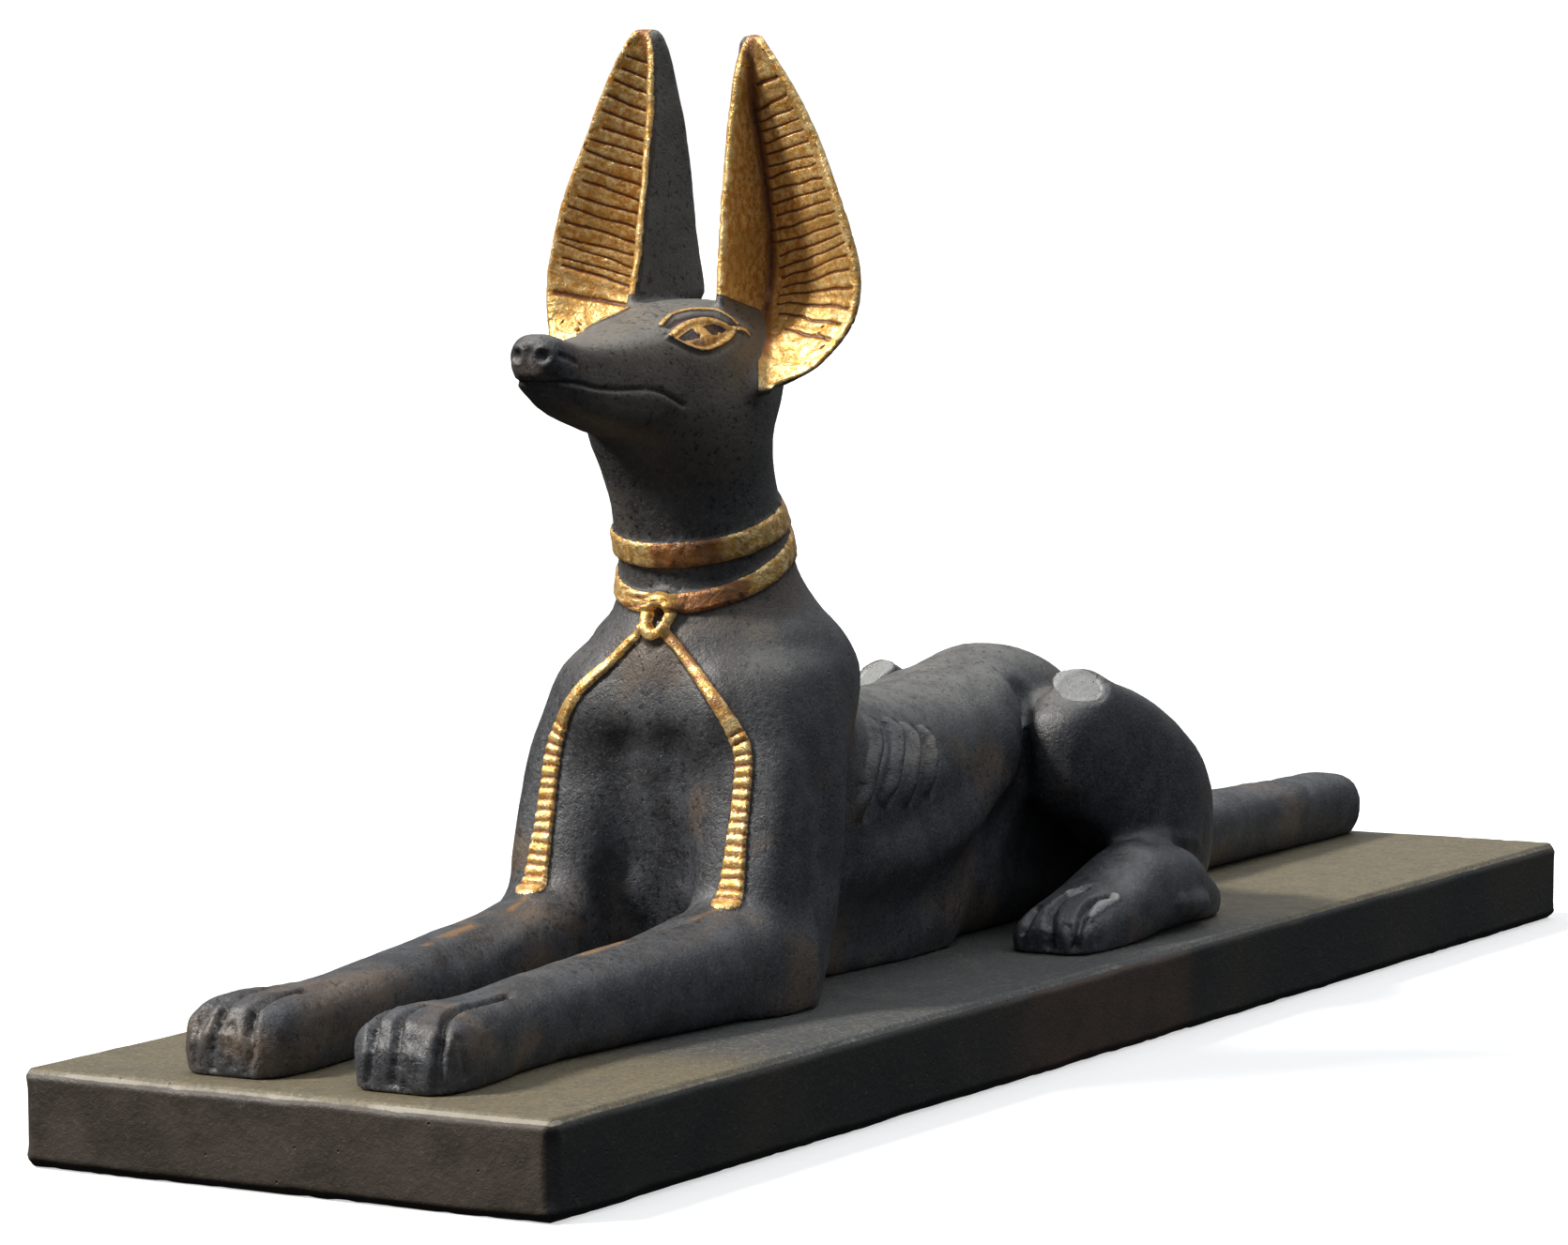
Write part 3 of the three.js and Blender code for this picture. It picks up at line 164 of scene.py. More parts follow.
def loft(axis, stations, power=2.2):
    """Body of changing oval section along y (axis 1) or z (axis 2)."""
    s, c = table(stations)
    v = 2 if axis == 1 else 1
    lo, hi = np.zeros(3), np.zeros(3)
    lo[axis], hi[axis] = s[0], s[-1]
    lo[0], hi[0] = (c[0] - c[2]).min(), (c[0] + c[2]).max()
    lo[v], hi[v] = (c[1] - c[4]).min(), (c[1] + c[3]).max()

    def distance(x, y, z):
        q, w = (y, z) if axis == 1 else (z, y)
        g = [np.interp(q, s, col).astype(np.float32) for col in c]
        n = g[5] if len(g) > 5 else power
        u, w = x - g[0], w - g[1]
        r = np.where(w > 0, g[3], g[4])
        m = ((np.abs(u) / g[2]) ** n + (np.abs(w) / r) ** n) ** (1 / n) + 1e-6
        d = np.where(m > 0.05, np.sqrt(u * u + w * w) * (1 - 1 / m), -np.minimum(g[2], r))
        over = np.maximum(np.maximum(s[0] - q, q - s[-1]), 0)
        return np.where(over > 0, np.sqrt(np.maximum(d, 0) ** 2 + over ** 2), d)
    return lo, hi, distance


def egg(centre, radii, tilt=0.0):
    """Ellipsoid, tilted about x by so many degrees."""
    a = math.radians(tilt)
    ca, sa = math.cos(a), math.sin(a)
    reach = max(radii)

    def distance(x, y, z):
        dx, dy, dz = x - centre[0], y - centre[1], z - centre[2]
        u, v, w = dx / radii[0], (ca * dy + sa * dz) / radii[1], (ca * dz - sa * dy) / radii[2]
        k0 = np.sqrt(u * u + v * v + w * w) + 1e-6
        k1 = np.sqrt((u / radii[0]) ** 2 + (v / radii[1]) ** 2 + (w / radii[2]) ** 2) + 1e-6
        return k0 * (k0 - 1) / k1
    return np.array(centre) - reach, np.array(centre) + reach, distance


def bar(x, y, a, b, ra, rb):
    """Distance to a tapered bar from a to b in the plane."""
    dx, dy = b[0] - a[0], b[1] - a[1]
    t = np.clip(((x - a[0]) * dx + (y - a[1]) * dy) / (dx * dx + dy * dy + 1e-9), 0, 1)
    return np.sqrt((x - a[0] - t * dx) ** 2 + (y - a[1] - t * dy) ** 2) - (ra + (rb - ra) * t)


# Half thickness of the ear's wall at the fold and at both edges, bow of its outer part and steps in it.
EAR_WALL_FOLD, EAR_WALL_EDGE, EAR_BOW, EAR_STEPS = 1.6, 0.9, 0.1, 5


def ear_wing(fx, fy, ex, ey):
    """Corners of the ear's wall from the fold to the outer edge."""
    qx, qy = (fx + ex) / 2 - EAR_BOW * (ey - fy), (fy + ey) / 2 + EAR_BOW * (ex - fx)
    sides = (fx, qx, ex), (fy, qy, ey)
    shares = [i / EAR_STEPS for i in range(EAR_STEPS + 1)]
    return [tuple((1 - t) ** 2 * f + 2 * t * (1 - t) * q + t * t * e for f, q, e in sides) for t in shares]


def ear():
    """The hollow, standing ear."""
    s, c = table(EAR)
    top = s[-1] - 0.8

    def distance(x, y, z):
        zz = np.minimum(z, top)
        mx, my, fx, fy, ex, ey = [np.interp(zz, s, col).astype(np.float32) for col in c]
        best = bar(x, y, (mx, my), (fx, fy), EAR_WALL_EDGE, EAR_WALL_FOLD)
        a, ra = (fx, fy), EAR_WALL_FOLD
        for i, b in enumerate(ear_wing(fx, fy, ex, ey)[1:], 1):
            t = i / EAR_STEPS
            rb = EAR_WALL_FOLD * (1 - t) + EAR_WALL_EDGE * t
            best = np.minimum(best, bar(x, y, a, b, ra, rb))
            a, ra = b, rb
        over = np.maximum(np.maximum(s[0] - z, z - top), 0)
        return np.where(over > 0, np.sqrt(np.maximum(best, 0) ** 2 + over ** 2), best)
    return np.array([4., -93., 131.]), np.array([38., -62., 203.]), distance


class Field:
    """Distances on a regular grid over the animal's left half, one plane of it at x = 0."""

    def __init__(self, lo, hi, step):
        self.lo, self.step = np.array(lo, float), step
        self.n = np.ceil((np.array(hi) - self.lo) / step).astype(int) + 1
        self.axes = [(self.lo[i] + step * np.arange(self.n[i])).astype(np.float32) for i in range(3)]
        self.f = np.full(self.n, 12, np.float32)

    def window(self, lo, hi, margin):
        sl = []
        for i in range(3):
            a = int(math.floor((lo[i] - margin - self.lo[i]) / self.step))
            b = int(math.ceil((hi[i] + margin - self.lo[i]) / self.step)) + 1
            sl.append(slice(max(a, 0), max(min(b, self.n[i]), 0)))
        x = self.axes[0][sl[0]][:, None, None]
        y = self.axes[1][sl[1]][None, :, None]
        z = self.axes[2][sl[2]][None, None, :]
        return tuple(sl), x, y, z

    def add(self, shape, k):
        sl, x, y, z = self.window(shape[0], shape[1], k + 1.5)
        self.f[sl] = smin(self.f[sl], shape[2](x, y, z).astype(np.float32), k)

    def press(self, lo, hi, depth):
        """Push the surface in by depth(x, y, z), in millimetres; below zero raises it."""
        sl, x, y, z = self.window(lo, hi, 0)
        if self.f[sl].size:
            self.f[sl] += depth(x, y, z).astype(np.float32)


FLOOR = 18.0

# Lines of carving on the left side: half width, depth (below zero stands out) and points.
STROKES = {
    "mouth": (0.45, 0.55, [(0, -137.6, 137), (4.1, -136.5, 137.2), (5.8, -131.9, 136.7),
        (6.9, -124.9, 135.5), (8.3, -118.4, 135.2), (9.4, -113.8, 135.2), (10.4, -110.4, 134.7),
        (11.2, -107.2, 133.3), (11.8, -104.3, 131.9)]),
    "toe_inner": (0.8, 1.8, [(10.6, -198, 31), (11.7, -205.6, 29.7), (12.4, -208, 28.5),
        (12.8, -209.5, 26.5), (13.3, -210.9, 24), (12.9, -210.9, 21), (12.8, -210.8, 18)]),
    "toe_middle": (0.8, 1.8, [(17.2, -198, 31.2), (16.7, -205.9, 30.1), (17.2, -207.8, 29.1),
        (17.7, -209.2, 27), (18.5, -210.4, 24), (18.4, -210.5, 20.5), (17.9, -210.3, 18)]),
    "toe_outer": (0.8, 1.8, [(21.3, -180.3, 31.2), (21.5, -187, 30.9), (22.5, -194.4, 30.7),
        (23.6, -202.5, 30.2), (24.6, -205.3, 29.4), (25.5, -207.2, 27.9), (26.1, -208.7, 25.7),
        (26.2, -209.4, 22), (25.9, -209.3, 18)]),
    "hind_toe_inner": (0.9, 1.5, [(30.3, 2.8, 26.1), (31.4, -1.7, 24.6), (32, -4.1, 22.6),
        (32, -4.3, 18)]),
    "hind_toe_middle": (0.9, 1.8, [(36.6, 12.2, 29.5), (34.9, 8.1, 28.4), (34.3, 5, 27.4),
        (34.6, 2, 26.3), (36, -1.2, 25.2), (37.6, -5, 23.5), (37.9, -5.6, 21.3), (38, -5.4, 18)]),
    "hind_toe_outer": (0.9, 1.8, [(42.9, 11.4, 28.2), (41, 7, 27), (41.6, 2.5, 25.9), (42.5, -0.6, 24.4),
        (43.5, -3.8, 22.5), (43, -4.8, 18)]),
    "rib_1": (1.35, -1.9, [(16.3, -42.8, 68.7), (18.9, -44, 66.5), (20.6, -46, 63.4), (21.9, -49.9, 59.8),
        (22.1, -52.8, 55.5), (22.4, -55.3, 52.1), (22, -55.7, 49.1)]),
    "rib_2": (1.35, -1.9, [(16.4, -35, 67.7), (18.9, -35.2, 65.7), (20.7, -37.2, 62.8),
        (21.9, -40.8, 59.4), (22.3, -43.2, 56.2), (22.7, -46, 53), (22.7, -47.1, 51.3)]),
    "rib_3": (1.35, -1.9, [(17.3, -29.2, 66.1), (19.9, -29.9, 63.5), (21.5, -32, 60.7),
        (22.5, -35.2, 57.3), (22.5, -37, 53.9), (22.3, -38.4, 50.4)]),
    "rib_4": (1.35, -1.9, [(17.8, -23.3, 65.2), (20, -23.2, 62.9), (21.3, -24.6, 60), (22.3, -27.2, 56.8),
        (22.2, -28.8, 53.8), (22.1, -29.9, 51.4)]),
    "ankle": (1.6, -0.5, [(35.5, 32, 36.2), (34.5, 46.3, 35.8), (35.1, 54.1, 35.4), (35.9, 60, 34.5),
        (36.2, 66.7, 32.8)]),
    "hock": (2.0, -0.9, [(46.6, 36, 24), (46.2, 42, 23), (45.9, 47, 23.2), (45.5, 50.5, 21.8)])}

# Middle line of the left ribbon from the knot down, with its half width.
RIBBON = [(3, -97.2, 88.6, 1.1), (6.5, -98, 85.4, 1.15), (10, -98.6, 82, 1.25), (13.4, -99, 78.4, 1.4),
    (16.4, -98.8, 74.6, 1.6), (19, -98.3, 70.6, 1.75), (20.7, -97.9, 66.5, 1.75), (21.3, -98.3, 62, 1.75),
    (21.4, -98.8, 57.6, 1.8), (21.5, -99.4, 50, 2.0), (21.6, -101.2, 43, 2.4), (21.6, -102.6, 38.6, 2.75),
    (21.6, -103.6, 35.4, 2.9)]


CORNERS = [(a, b, c) for a in (0, 1) for b in (0, 1) for c in (0, 1)]


def corner_shares(t, corner):
    """Share of one corner of a cell along each axis, at places t in the cell."""
    return [t[:, k] if far else 1 - t[:, k] for k, far in enumerate(corner)]


def sample(f, low, step, P):
    """Value and slope of a grid at points."""
    c = np.clip((P - low) / step, 0.01, np.array(f.shape) - 2.01)
    i = c.astype(int)
    t = c - i
    value, g = 0, np.zeros((len(P), 3))
    for a, b, c in CORNERS:
        v = f[i[:, 0] + a, i[:, 1] + b, i[:, 2] + c]
        w = corner_shares(t, (a, b, c))
        value = value + v * w[0] * w[1] * w[2]
        g += np.stack([(2 * far - 1) * v * w[j] * w[k] for far, j, k in ((a, 1, 2), (b, 0, 2), (c, 0, 1))], 1)
    return value, g / step


def settle(field, points):
    """Points of a chain, drawn onto the coat."""
    p = np.array(points, float)
    for _ in range(6):
        f, g = sample(field.f, field.lo, field.step, p[:, :3])
        size = (g ** 2).sum(1) + 1e-6
        p[:, :3] -= (np.clip(f, -2, 2) / size)[:, None] * g
        p[:, 0] = np.maximum(p[:, 0], 0)
    return p


def body(step):
    """The smooth body without its carving."""
    field = Field((0, -213, 16.6), (49, 219, 204.5), step)
    field.add(loft(1, TRUNK, 2.2), 1)
    field.add(loft(1, BELLY, 3), 6)
    field.add(loft(1, LOIN, 2.6), 6)
    for half, cut, points in FLANK:
        field.press(*stroke(half, cut, points))
    field.add(loft(2, NECK, 2.1), 8)
    field.add(loft(1, HEAD), 4)
    field.add(ear(), 2.5)
    field.add(loft(2, UPPER_ARM, 2.7), 6)
    field.add(egg((15.6, -66, 76.5), (8.9, 13.4, 12.2), -12), 8)
    field.add(egg((13, -86.5, 72.5), (7.5, 12, 11)), 7)
    field.add(egg((7.5, -84, 56), (10.5, 12, 24), -6), 7)
    field.add(loft(1, FORELEG, 2.4), 4)
    leg = loft(1, HIND_LEG, 3.0)
    knee = egg((24.6, 34.2, 64.2), (6.4, 8.2, 8.0), 0)
    field.add((leg[0], leg[1] + 4, lambda x, y, z: smin(leg[2](x, y, z), smax(
        knee[2](x, y, z), 0.454 * (x - 26) - 0.525 * (y - 31.5) + 0.727 * (z - 68.0), 0.8), 3)), 4.5)
    field.add(loft(1, HIND_FOOT, 2.4), 7.5)
    field.add(loft(1, TAIL, 2.5), 5)
    sl, x, y, z = field.window((0, -213, 16), (49, 219, 20), 0)
    field.f[sl] = np.maximum(field.f[sl], FLOOR - z)
    return field


# From the field to a mesh.

def both_halves(half):
    """A field on a grid of both halves, its lowest corner and its step."""
    low = half.lo.copy()
    low[0] = -half.step * (half.f.shape[0] - 1)
    return np.concatenate([half.f[:0:-1], half.f], 0), low, half.step


def trace(f, low, step):
    """Quads round the inside of a field, one corner in each cell that the surface crosses."""
    inside = f < 0
    count = np.zeros([n - 1 for n in f.shape], np.uint8)
    for a, b, c in CORNERS:
        count += inside[a:f.shape[0] - 1 + a, b:f.shape[1] - 1 + b, c:f.shape[2] - 1 + c]
    cells = np.argwhere((count > 0) & (count < 8))
    index = np.full(count.shape, -1, np.int32)
    index[tuple(cells.T)] = np.arange(len(cells))
    total = np.zeros((len(cells), 3))
    hits = np.zeros(len(cells))
    for axis in range(3):
        for a in (0, 1):
            for b in (0, 1):
                shift = np.insert([a, b], axis, 0)
                p = cells + shift
                q = p.copy()
                q[:, axis] += 1
                v, w = f[tuple(p.T)], f[tuple(q.T)]
                cross = (v < 0) != (w < 0)
                t = np.where(cross, v / np.where(v == w, 1, v - w), 0)
                at = p.astype(float)
                at[:, axis] += t
                total += np.where(cross[:, None], at, 0)
                hits += cross
    points = low + step * total / hits[:, None]
    quads = []
    for axis in range(3):
        size = list(f.shape)
        size[axis] -= 1
        first = np.take(inside, range(size[axis]), axis)
        second = np.take(inside, range(1, size[axis] + 1), axis)
        for turn, change in ((False, first & ~second), (True, ~first & second)):
            e = np.argwhere(change)
            u, v = (axis + 1) % 3, (axis + 2) % 3
            corners = []
            for du, dv in ((0, 0), (-1, 0), (-1, -1), (0, -1)):
                c = e.copy()
                c[:, u] += du
                c[:, v] += dv
                corners.append(index[tuple(c.T)])
            q = np.stack(corners, 1)
            quads.append(q[:, ::-1] if turn else q)
    return points, np.concatenate(quads)


def snap(grid, P, rounds=3):
    """Points drawn onto the zero surface of a grid."""
    for _ in range(rounds):
        v, g = sample(*grid, P)
        P = P - (np.clip(v, -1, 1) / ((g ** 2).sum(1) + 1e-6))[:, None] * g
    return P


def edges_of(T):
    """Edges of the triangles, each once, and where each triangle's three are in that list."""
    e = np.sort(np.concatenate([T[:, [0, 1]], T[:, [1, 2]], T[:, [2, 0]]]), 1)
    pairs, where = np.unique(e[:, 0].astype(np.int64) * (T.max() + 1) + e[:, 1], return_inverse=True)
    n = T.max() + 1
    return np.stack([pairs // n, pairs % n], 1), where.reshape(3, -1).T


def tri(*corners):
    """Triangles from three columns of corner numbers."""
    return np.stack(corners, 1)


def refine(P, T, goal, rounds):
    """Split the edges that are longer than goal(midpoint) until none is."""
    for _ in range(rounds):
        E, where = edges_of(T)
        mid = (P[E[:, 0]] + P[E[:, 1]]) / 2
        size = np.linalg.norm(P[E[:, 0]] - P[E[:, 1]], axis=1)
        long = size > 1.45 * goal(mid)
        if not long.any():
            break
        new = np.full(len(E), -1)
        new[long] = len(P) + np.arange(long.sum())
        P = np.concatenate([P, mid[long]])
        m = new[where]
        kind = (m >= 0).sum(1)
        out = [T[kind == 0]]
        t, n = T[kind == 3], m[kind == 3]
        out += [tri(t[:, 0], n[:, 0], n[:, 2]), tri(n[:, 0], t[:, 1], n[:, 1]),
                tri(n[:, 2], n[:, 1], t[:, 2]), n]
        for k in range(3):
            a, b, c = k, (k + 1) % 3, (k + 2) % 3
            s = (kind == 1) & (m[:, a] >= 0)
            t, n = T[s], m[s]
            out += [tri(t[:, a], n[:, a], t[:, c]), tri(n[:, a], t[:, b], t[:, c])]
            s = (kind == 2) & (m[:, a] < 0)
            t, n = T[s], m[s]
            out.append(tri(n[:, b], t[:, c], n[:, c]))
            d1 = np.linalg.norm(P[t[:, a]] - P[n[:, b]], axis=1)
            d2 = np.linalg.norm(P[t[:, b]] - P[n[:, c]], axis=1)
            near = d1 < d2
            out += [tri(t[:, a], t[:, b], n[:, b])[near], tri(t[:, a], n[:, b], n[:, c])[near],
                    tri(t[:, a], t[:, b], n[:, c])[~near], tri(t[:, b], n[:, b], n[:, c])[~near]]
        T = np.concatenate(out)
    return P, T


def relax(grid, P, T, rounds, hold):
    """Even out the triangles without leaving the surface; points where hold is true stay."""
    E, _ = edges_of(T)
    for _ in range(rounds):
        total = np.zeros_like(P)
        count = np.bincount(E.ravel(), minlength=len(P))
        for i in range(3):
            total[:, i] = sum(np.bincount(E[:, k], P[E[:, 1 - k], i], len(P)) for k in (0, 1))
        move = (total / count[:, None] - P) * 0.6
        move[hold] = 0
        P = snap(grid, P + move, 1)
    return P


def raw_mesh(name, P, F):
    """A mesh in metres from corner points in millimetres and faces of one size."""
    me = bpy.data.meshes.new(name)
    me.vertices.add(len(P))
    me.vertices.foreach_set("co", (P * MM).astype(np.float32).ravel())
    me.loops.add(F.size)
    me.loops.foreach_set("vertex_index", F.astype(np.int32).ravel())
    me.polygons.add(len(F))
    me.polygons.foreach_set("loop_start", np.arange(0, F.size, F.shape[1], dtype=np.int32))
    me.update(calc_edges=True)
    return me


def linked(name, data):
    """A new object in the scene."""
    ob = bpy.data.objects.new(name, data)
    bpy.context.scene.collection.objects.link(ob)
    return ob


def collapse(P, F, ratio, name):
    """Fewer faces for the same surface, by Blender's own decimation."""
    me = raw_mesh(name, P, F)
    ob = linked(name, me)
    ob.modifiers.new("less", "DECIMATE").ratio = ratio
    less = ob.evaluated_get(bpy.context.evaluated_depsgraph_get()).to_mesh()
    less.calc_loop_triangles()
    p = np.zeros(len(less.vertices) * 3, np.float32)
    less.vertices.foreach_get("co", p)
    t = np.zeros(len(less.loop_triangles) * 3, np.int32)
    less.loop_triangles.foreach_get("vertices", t)
    bpy.data.objects.remove(ob)
    bpy.data.meshes.remove(me)
    return p.reshape(-1, 3).astype(float) / MM, t.reshape(-1, 3)


def normals_of(P, T):
    """Outward direction at each point."""
    n = np.cross(P[T[:, 1]] - P[T[:, 0]], P[T[:, 2]] - P[T[:, 0]])
    out = np.zeros_like(P)
    for k in range(3):
        for i in range(3):
            out[:, i] += np.bincount(T[:, k], n[:, i], len(P))
    return out / (np.linalg.norm(out, axis=1, keepdims=True) + 1e-12)


# Carving, as a depth in millimetres at each point of the smooth body: above zero cuts in, below stands out.

def grain(P, size, seed):
    """Smooth noise between -1 and 1 with waves of about the given size."""
    side = 32
    box = np.random.default_rng(seed).uniform(-1, 1, (side, side, side))
    c = P / size
    i = np.floor(c).astype(int)
    t = c - i
    t = t * t * (3 - 2 * t)
    out = 0
    for a, b, c in CORNERS:
        node = box[(i[:, 0] + a) % side, (i[:, 1] + b) % side, (i[:, 2] + c) % side]
        out = out + math.prod(corner_shares(t, (a, b, c))) * node
    return out


def chain(points, P, reach):
    """Distance to a chain of points and length along it, worked out only within reach."""
    p = np.array(points, float)
    dims = P.shape[1]
    near = ((P > p[:, :dims].min(0) - reach) & (P < p[:, :dims].max(0) + reach)).all(1)
    best, where = np.full(len(P), 1e3), np.zeros(len(P))
    Q = P[near]
    b, w = np.full(len(Q), 1e3), np.zeros(len(Q))
    start = 0.0
    for s, e in zip(p[:-1, :dims], p[1:, :dims]):
        d = e - s
        size = math.sqrt(d @ d)
        t = np.clip((Q - s) @ d / (size * size), 0, 1)
        r = np.linalg.norm(Q - s - t[:, None] * d, axis=1)
        w = np.where(r < b, start + t * size, w)
        b = np.minimum(b, r)
        start += size
    best[near], where[near] = b, w
    return best, where


def groove(points, P, half, depth):
    """Depth of a rounded groove along a chain."""
    d, _ = chain(points, P, 1.7 * half)
    t = np.clip(d / (1.6 * half), 0, 1)
    return depth * (1 - t * t) ** 2


def lengths(p):
    """Length along a chain at each of its points."""
    return np.concatenate([[0], np.cumsum(np.linalg.norm(np.diff(p, axis=0), axis=1))])


def folded(P):
    """The same points with the animal's right half laid onto the left."""
    A = P.copy()
    A[:, 0] = np.abs(A[:, 0])
    return A


def tapered(points, P):
    """Share of full depth along a chain, falling to nothing at both ends."""
    p = np.array(points, float)
    total = np.linalg.norm(np.diff(p, axis=0), axis=1).sum()
    _, s = chain(p, P, 4)
    return np.clip(np.minimum(s, total - s) / 4.5, 0, 1) ** 0.7


def stroke(half, depth, points):
    """A groove as a change to a field: its box and its depth on a grid."""
    p = np.array(points, float)

    def fn(x, y, z):
        P = np.stack(np.broadcast_arrays(x, y, z), -1).astype(float)
        return groove(p, P.reshape(-1, 3), half, depth).reshape(P.shape[:-1])
    return p.min(0) - 1.7 * half, p.max(0) + 1.7 * half, fn


def inside(poly, Q):
    """Distance to the outline of a closed polygon in the plane, above zero inside it."""
    p = np.array(poly, float)
    q = np.roll(p, -1, 0)
    best = np.full(len(Q), 1e3)
    odd = np.zeros(len(Q), bool)
    for a, b in zip(p, q):
        d = b - a
        t = np.clip((Q - a) @ d / (d @ d), 0, 1)
        best = np.minimum(best, np.linalg.norm(Q - a - t[:, None] * d, axis=1))
        cross = (a[1] > Q[:, 1]) != (b[1] > Q[:, 1])
        x = a[0] + (Q[:, 1] - a[1]) * d[0] / (d[1] if d[1] else 1e-9)
        odd ^= cross & (Q[:, 0] < x)
    return np.where(odd, best, -best)


# Eye and brow, as places along the head (y) and angles about the line x = 0, z = HEAD_AXIS, unrolled at
# HEAD_TURN millimetres to the degree.
HEAD_TURN, HEAD_AXIS = 0.235, 138
BROW = [(-104.9, 50.5), (-102.5, 55.3), (-99.8, 59.3), (-97.5, 60.2), (-95.1, 59.5), (-93.1, 56.7),
    (-91.2, 53.4), (-89.6, 49.7), (-89.1, 44.9), (-88.4, 40.3), (-88, 36.4), (-87.6, 32.7)]
BROW_GROOVE = [(-103.6, 46.5), (-100.6, 49), (-97.7, 50), (-95.3, 49), (-93.1, 46.5), (-91.2, 43.2),
    (-90.3, 39), (-89.6, 34.5), (-88.4, 31.6)]
UPPER_LID = [(-105.8, 34.6), (-103.7, 38.2), (-101.3, 41.1), (-99, 42.1), (-97.2, 42.2), (-95.2, 41.4),
    (-93.7, 39.2), (-92.4, 35.7), (-91.4, 31.7), (-89.9, 30.1), (-88.2, 28.4), (-86.9, 26.2), (-86.5, 23.1)]
LOWER_LID = [(-106, 34.4), (-105.6, 31.8), (-104.7, 28.2), (-103.4, 23.4), (-101.9, 19.8), (-100.5, 17.4),
    (-99, 16.6), (-97.6, 17.2), (-95.6, 18.9), (-93.3, 21), (-91.6, 23.4), (-90.4, 26), (-89.8, 28.2)]
FRONT_CORNER = [(-104.2, 31), (-102.4, 33.8), (-100, 36.4), (-99.5, 36.6), (-99.9, 32), (-99.2, 28.8),
    (-99.6, 26.6), (-101.4, 26.8), (-103.2, 27.6)]
REAR_CORNER = [(-97, 36), (-95.2, 36.8), (-93.9, 36), (-92.8, 33), (-91.9, 29.2), (-92.8, 28.2),
    (-93.4, 27.2), (-94.3, 28.8), (-95, 26.4), (-96.4, 27), (-96.9, 31)]

# Carved lines in the left and the right ear: height at the fold, and rise for each mm towards the rim.
EAR_LINES_LEFT = [(195.6, 0.3), (192, 0.24), (187.2, 0.32), (185.2, 0.24), (183, 0.24), (180.8, 0.22),
    (178.8, 0.19), (176.5, 0.13), (174.3, 0.2), (172, 0.15), (169.3, 0.19), (166.8, 0.19), (164.3, 0.21),
    (161.8, 0.2), (159.2, 0.24), (156.6, 0.27), (154.9, 0.24), (153, 0.2), (151.6, 0.11), (150.2, 0.0),
    (148.4, -0.07), (146, -0.08), (143.8, -0.14)]
EAR_LINES_RIGHT = [(197.6, 0.5), (195.2, 0.42), (192.2, 0.4), (189.4, 0.42), (186, 0.37), (182.6, 0.42),
    (179.8, 0.34), (177, 0.34), (174.2, 0.36), (170.8, 0.38), (167.6, 0.41), (165, 0.36), (162.4, 0.34),
    (159.6, 0.33), (157.2, 0.28), (154.2, 0.38), (152, 0.36), (150, 0.42), (147.4, 0.26), (144.8, 0.2)]

# Grooves between the toes of the right forepaw, mirrored to the left side.
RIGHT_TOES = {
    "toe_inner": [(13.8, -184.3, 31.2), (13.5, -192, 31.1), (13.2, -199.5, 31.1), (13.4, -204.5, 30.4),
        (13.3, -208.1, 28.5), (13, -209.6, 25.8), (12.6, -210.4, 23), (13, -210.3, 18)],
    "toe_middle": [(18.8, -195, 31.6), (19.2, -202, 31.4), (19.3, -206.7, 30.4), (19.6, -209, 28),
        (19.8, -210.8, 25.3), (20.2, -210.9, 22), (20.1, -210.8, 18)],
    "toe_outer": [(21.4, -205, 30.8), (22.6, -208, 29.2), (23.6, -209.5, 27.3), (23.8, -210.7, 24.5),
        (24, -210.9, 18)]}
# Arcs and sides of the claws: half width, depth and points.
CLAWS = {
    "left_3": (0.45, 0.5, [(20.3, -210.9, 19), (20.2, -210.9, 22.4), (19.9, -210.3, 26),
        (20.3, -209.5, 27.3), (21.1, -209.2, 27.4), (21.9, -209.6, 26.9), (22.6, -210.5, 25.5),
        (23, -210.9, 20)]),
    "left_4": (0.45, 0.5, [(26.8, -207.7, 20), (26.9, -207.2, 25.4), (27.5, -206, 27.6),
        (28.2, -205.2, 26.9), (28.5, -204.8, 21)]),
    "right_3": (0.45, 0.45, [(16, -210.9, 20), (15.8, -210.7, 25), (16.6, -209.6, 27.2),
        (17.6, -210, 26.6), (18, -210.9, 21)]),
    "hind_4": (0.4, 0.45, [(44.8, -2.2, 19), (44.8, -2.4, 22.3), (44.2, -1, 24), (44.8, 0.6, 24.4),
        (45.4, 0.5, 22.6), (45.8, -0.3, 20)]),
    "hind_3": (0.4, 0.45, [(40.4, -5.6, 18.8), (39.6, -5.6, 22), (39.2, -4.9, 23.6), (40, -4, 24.3),
        (41.5, -3.9, 23.8), (42.4, -5.3, 21.4)])}
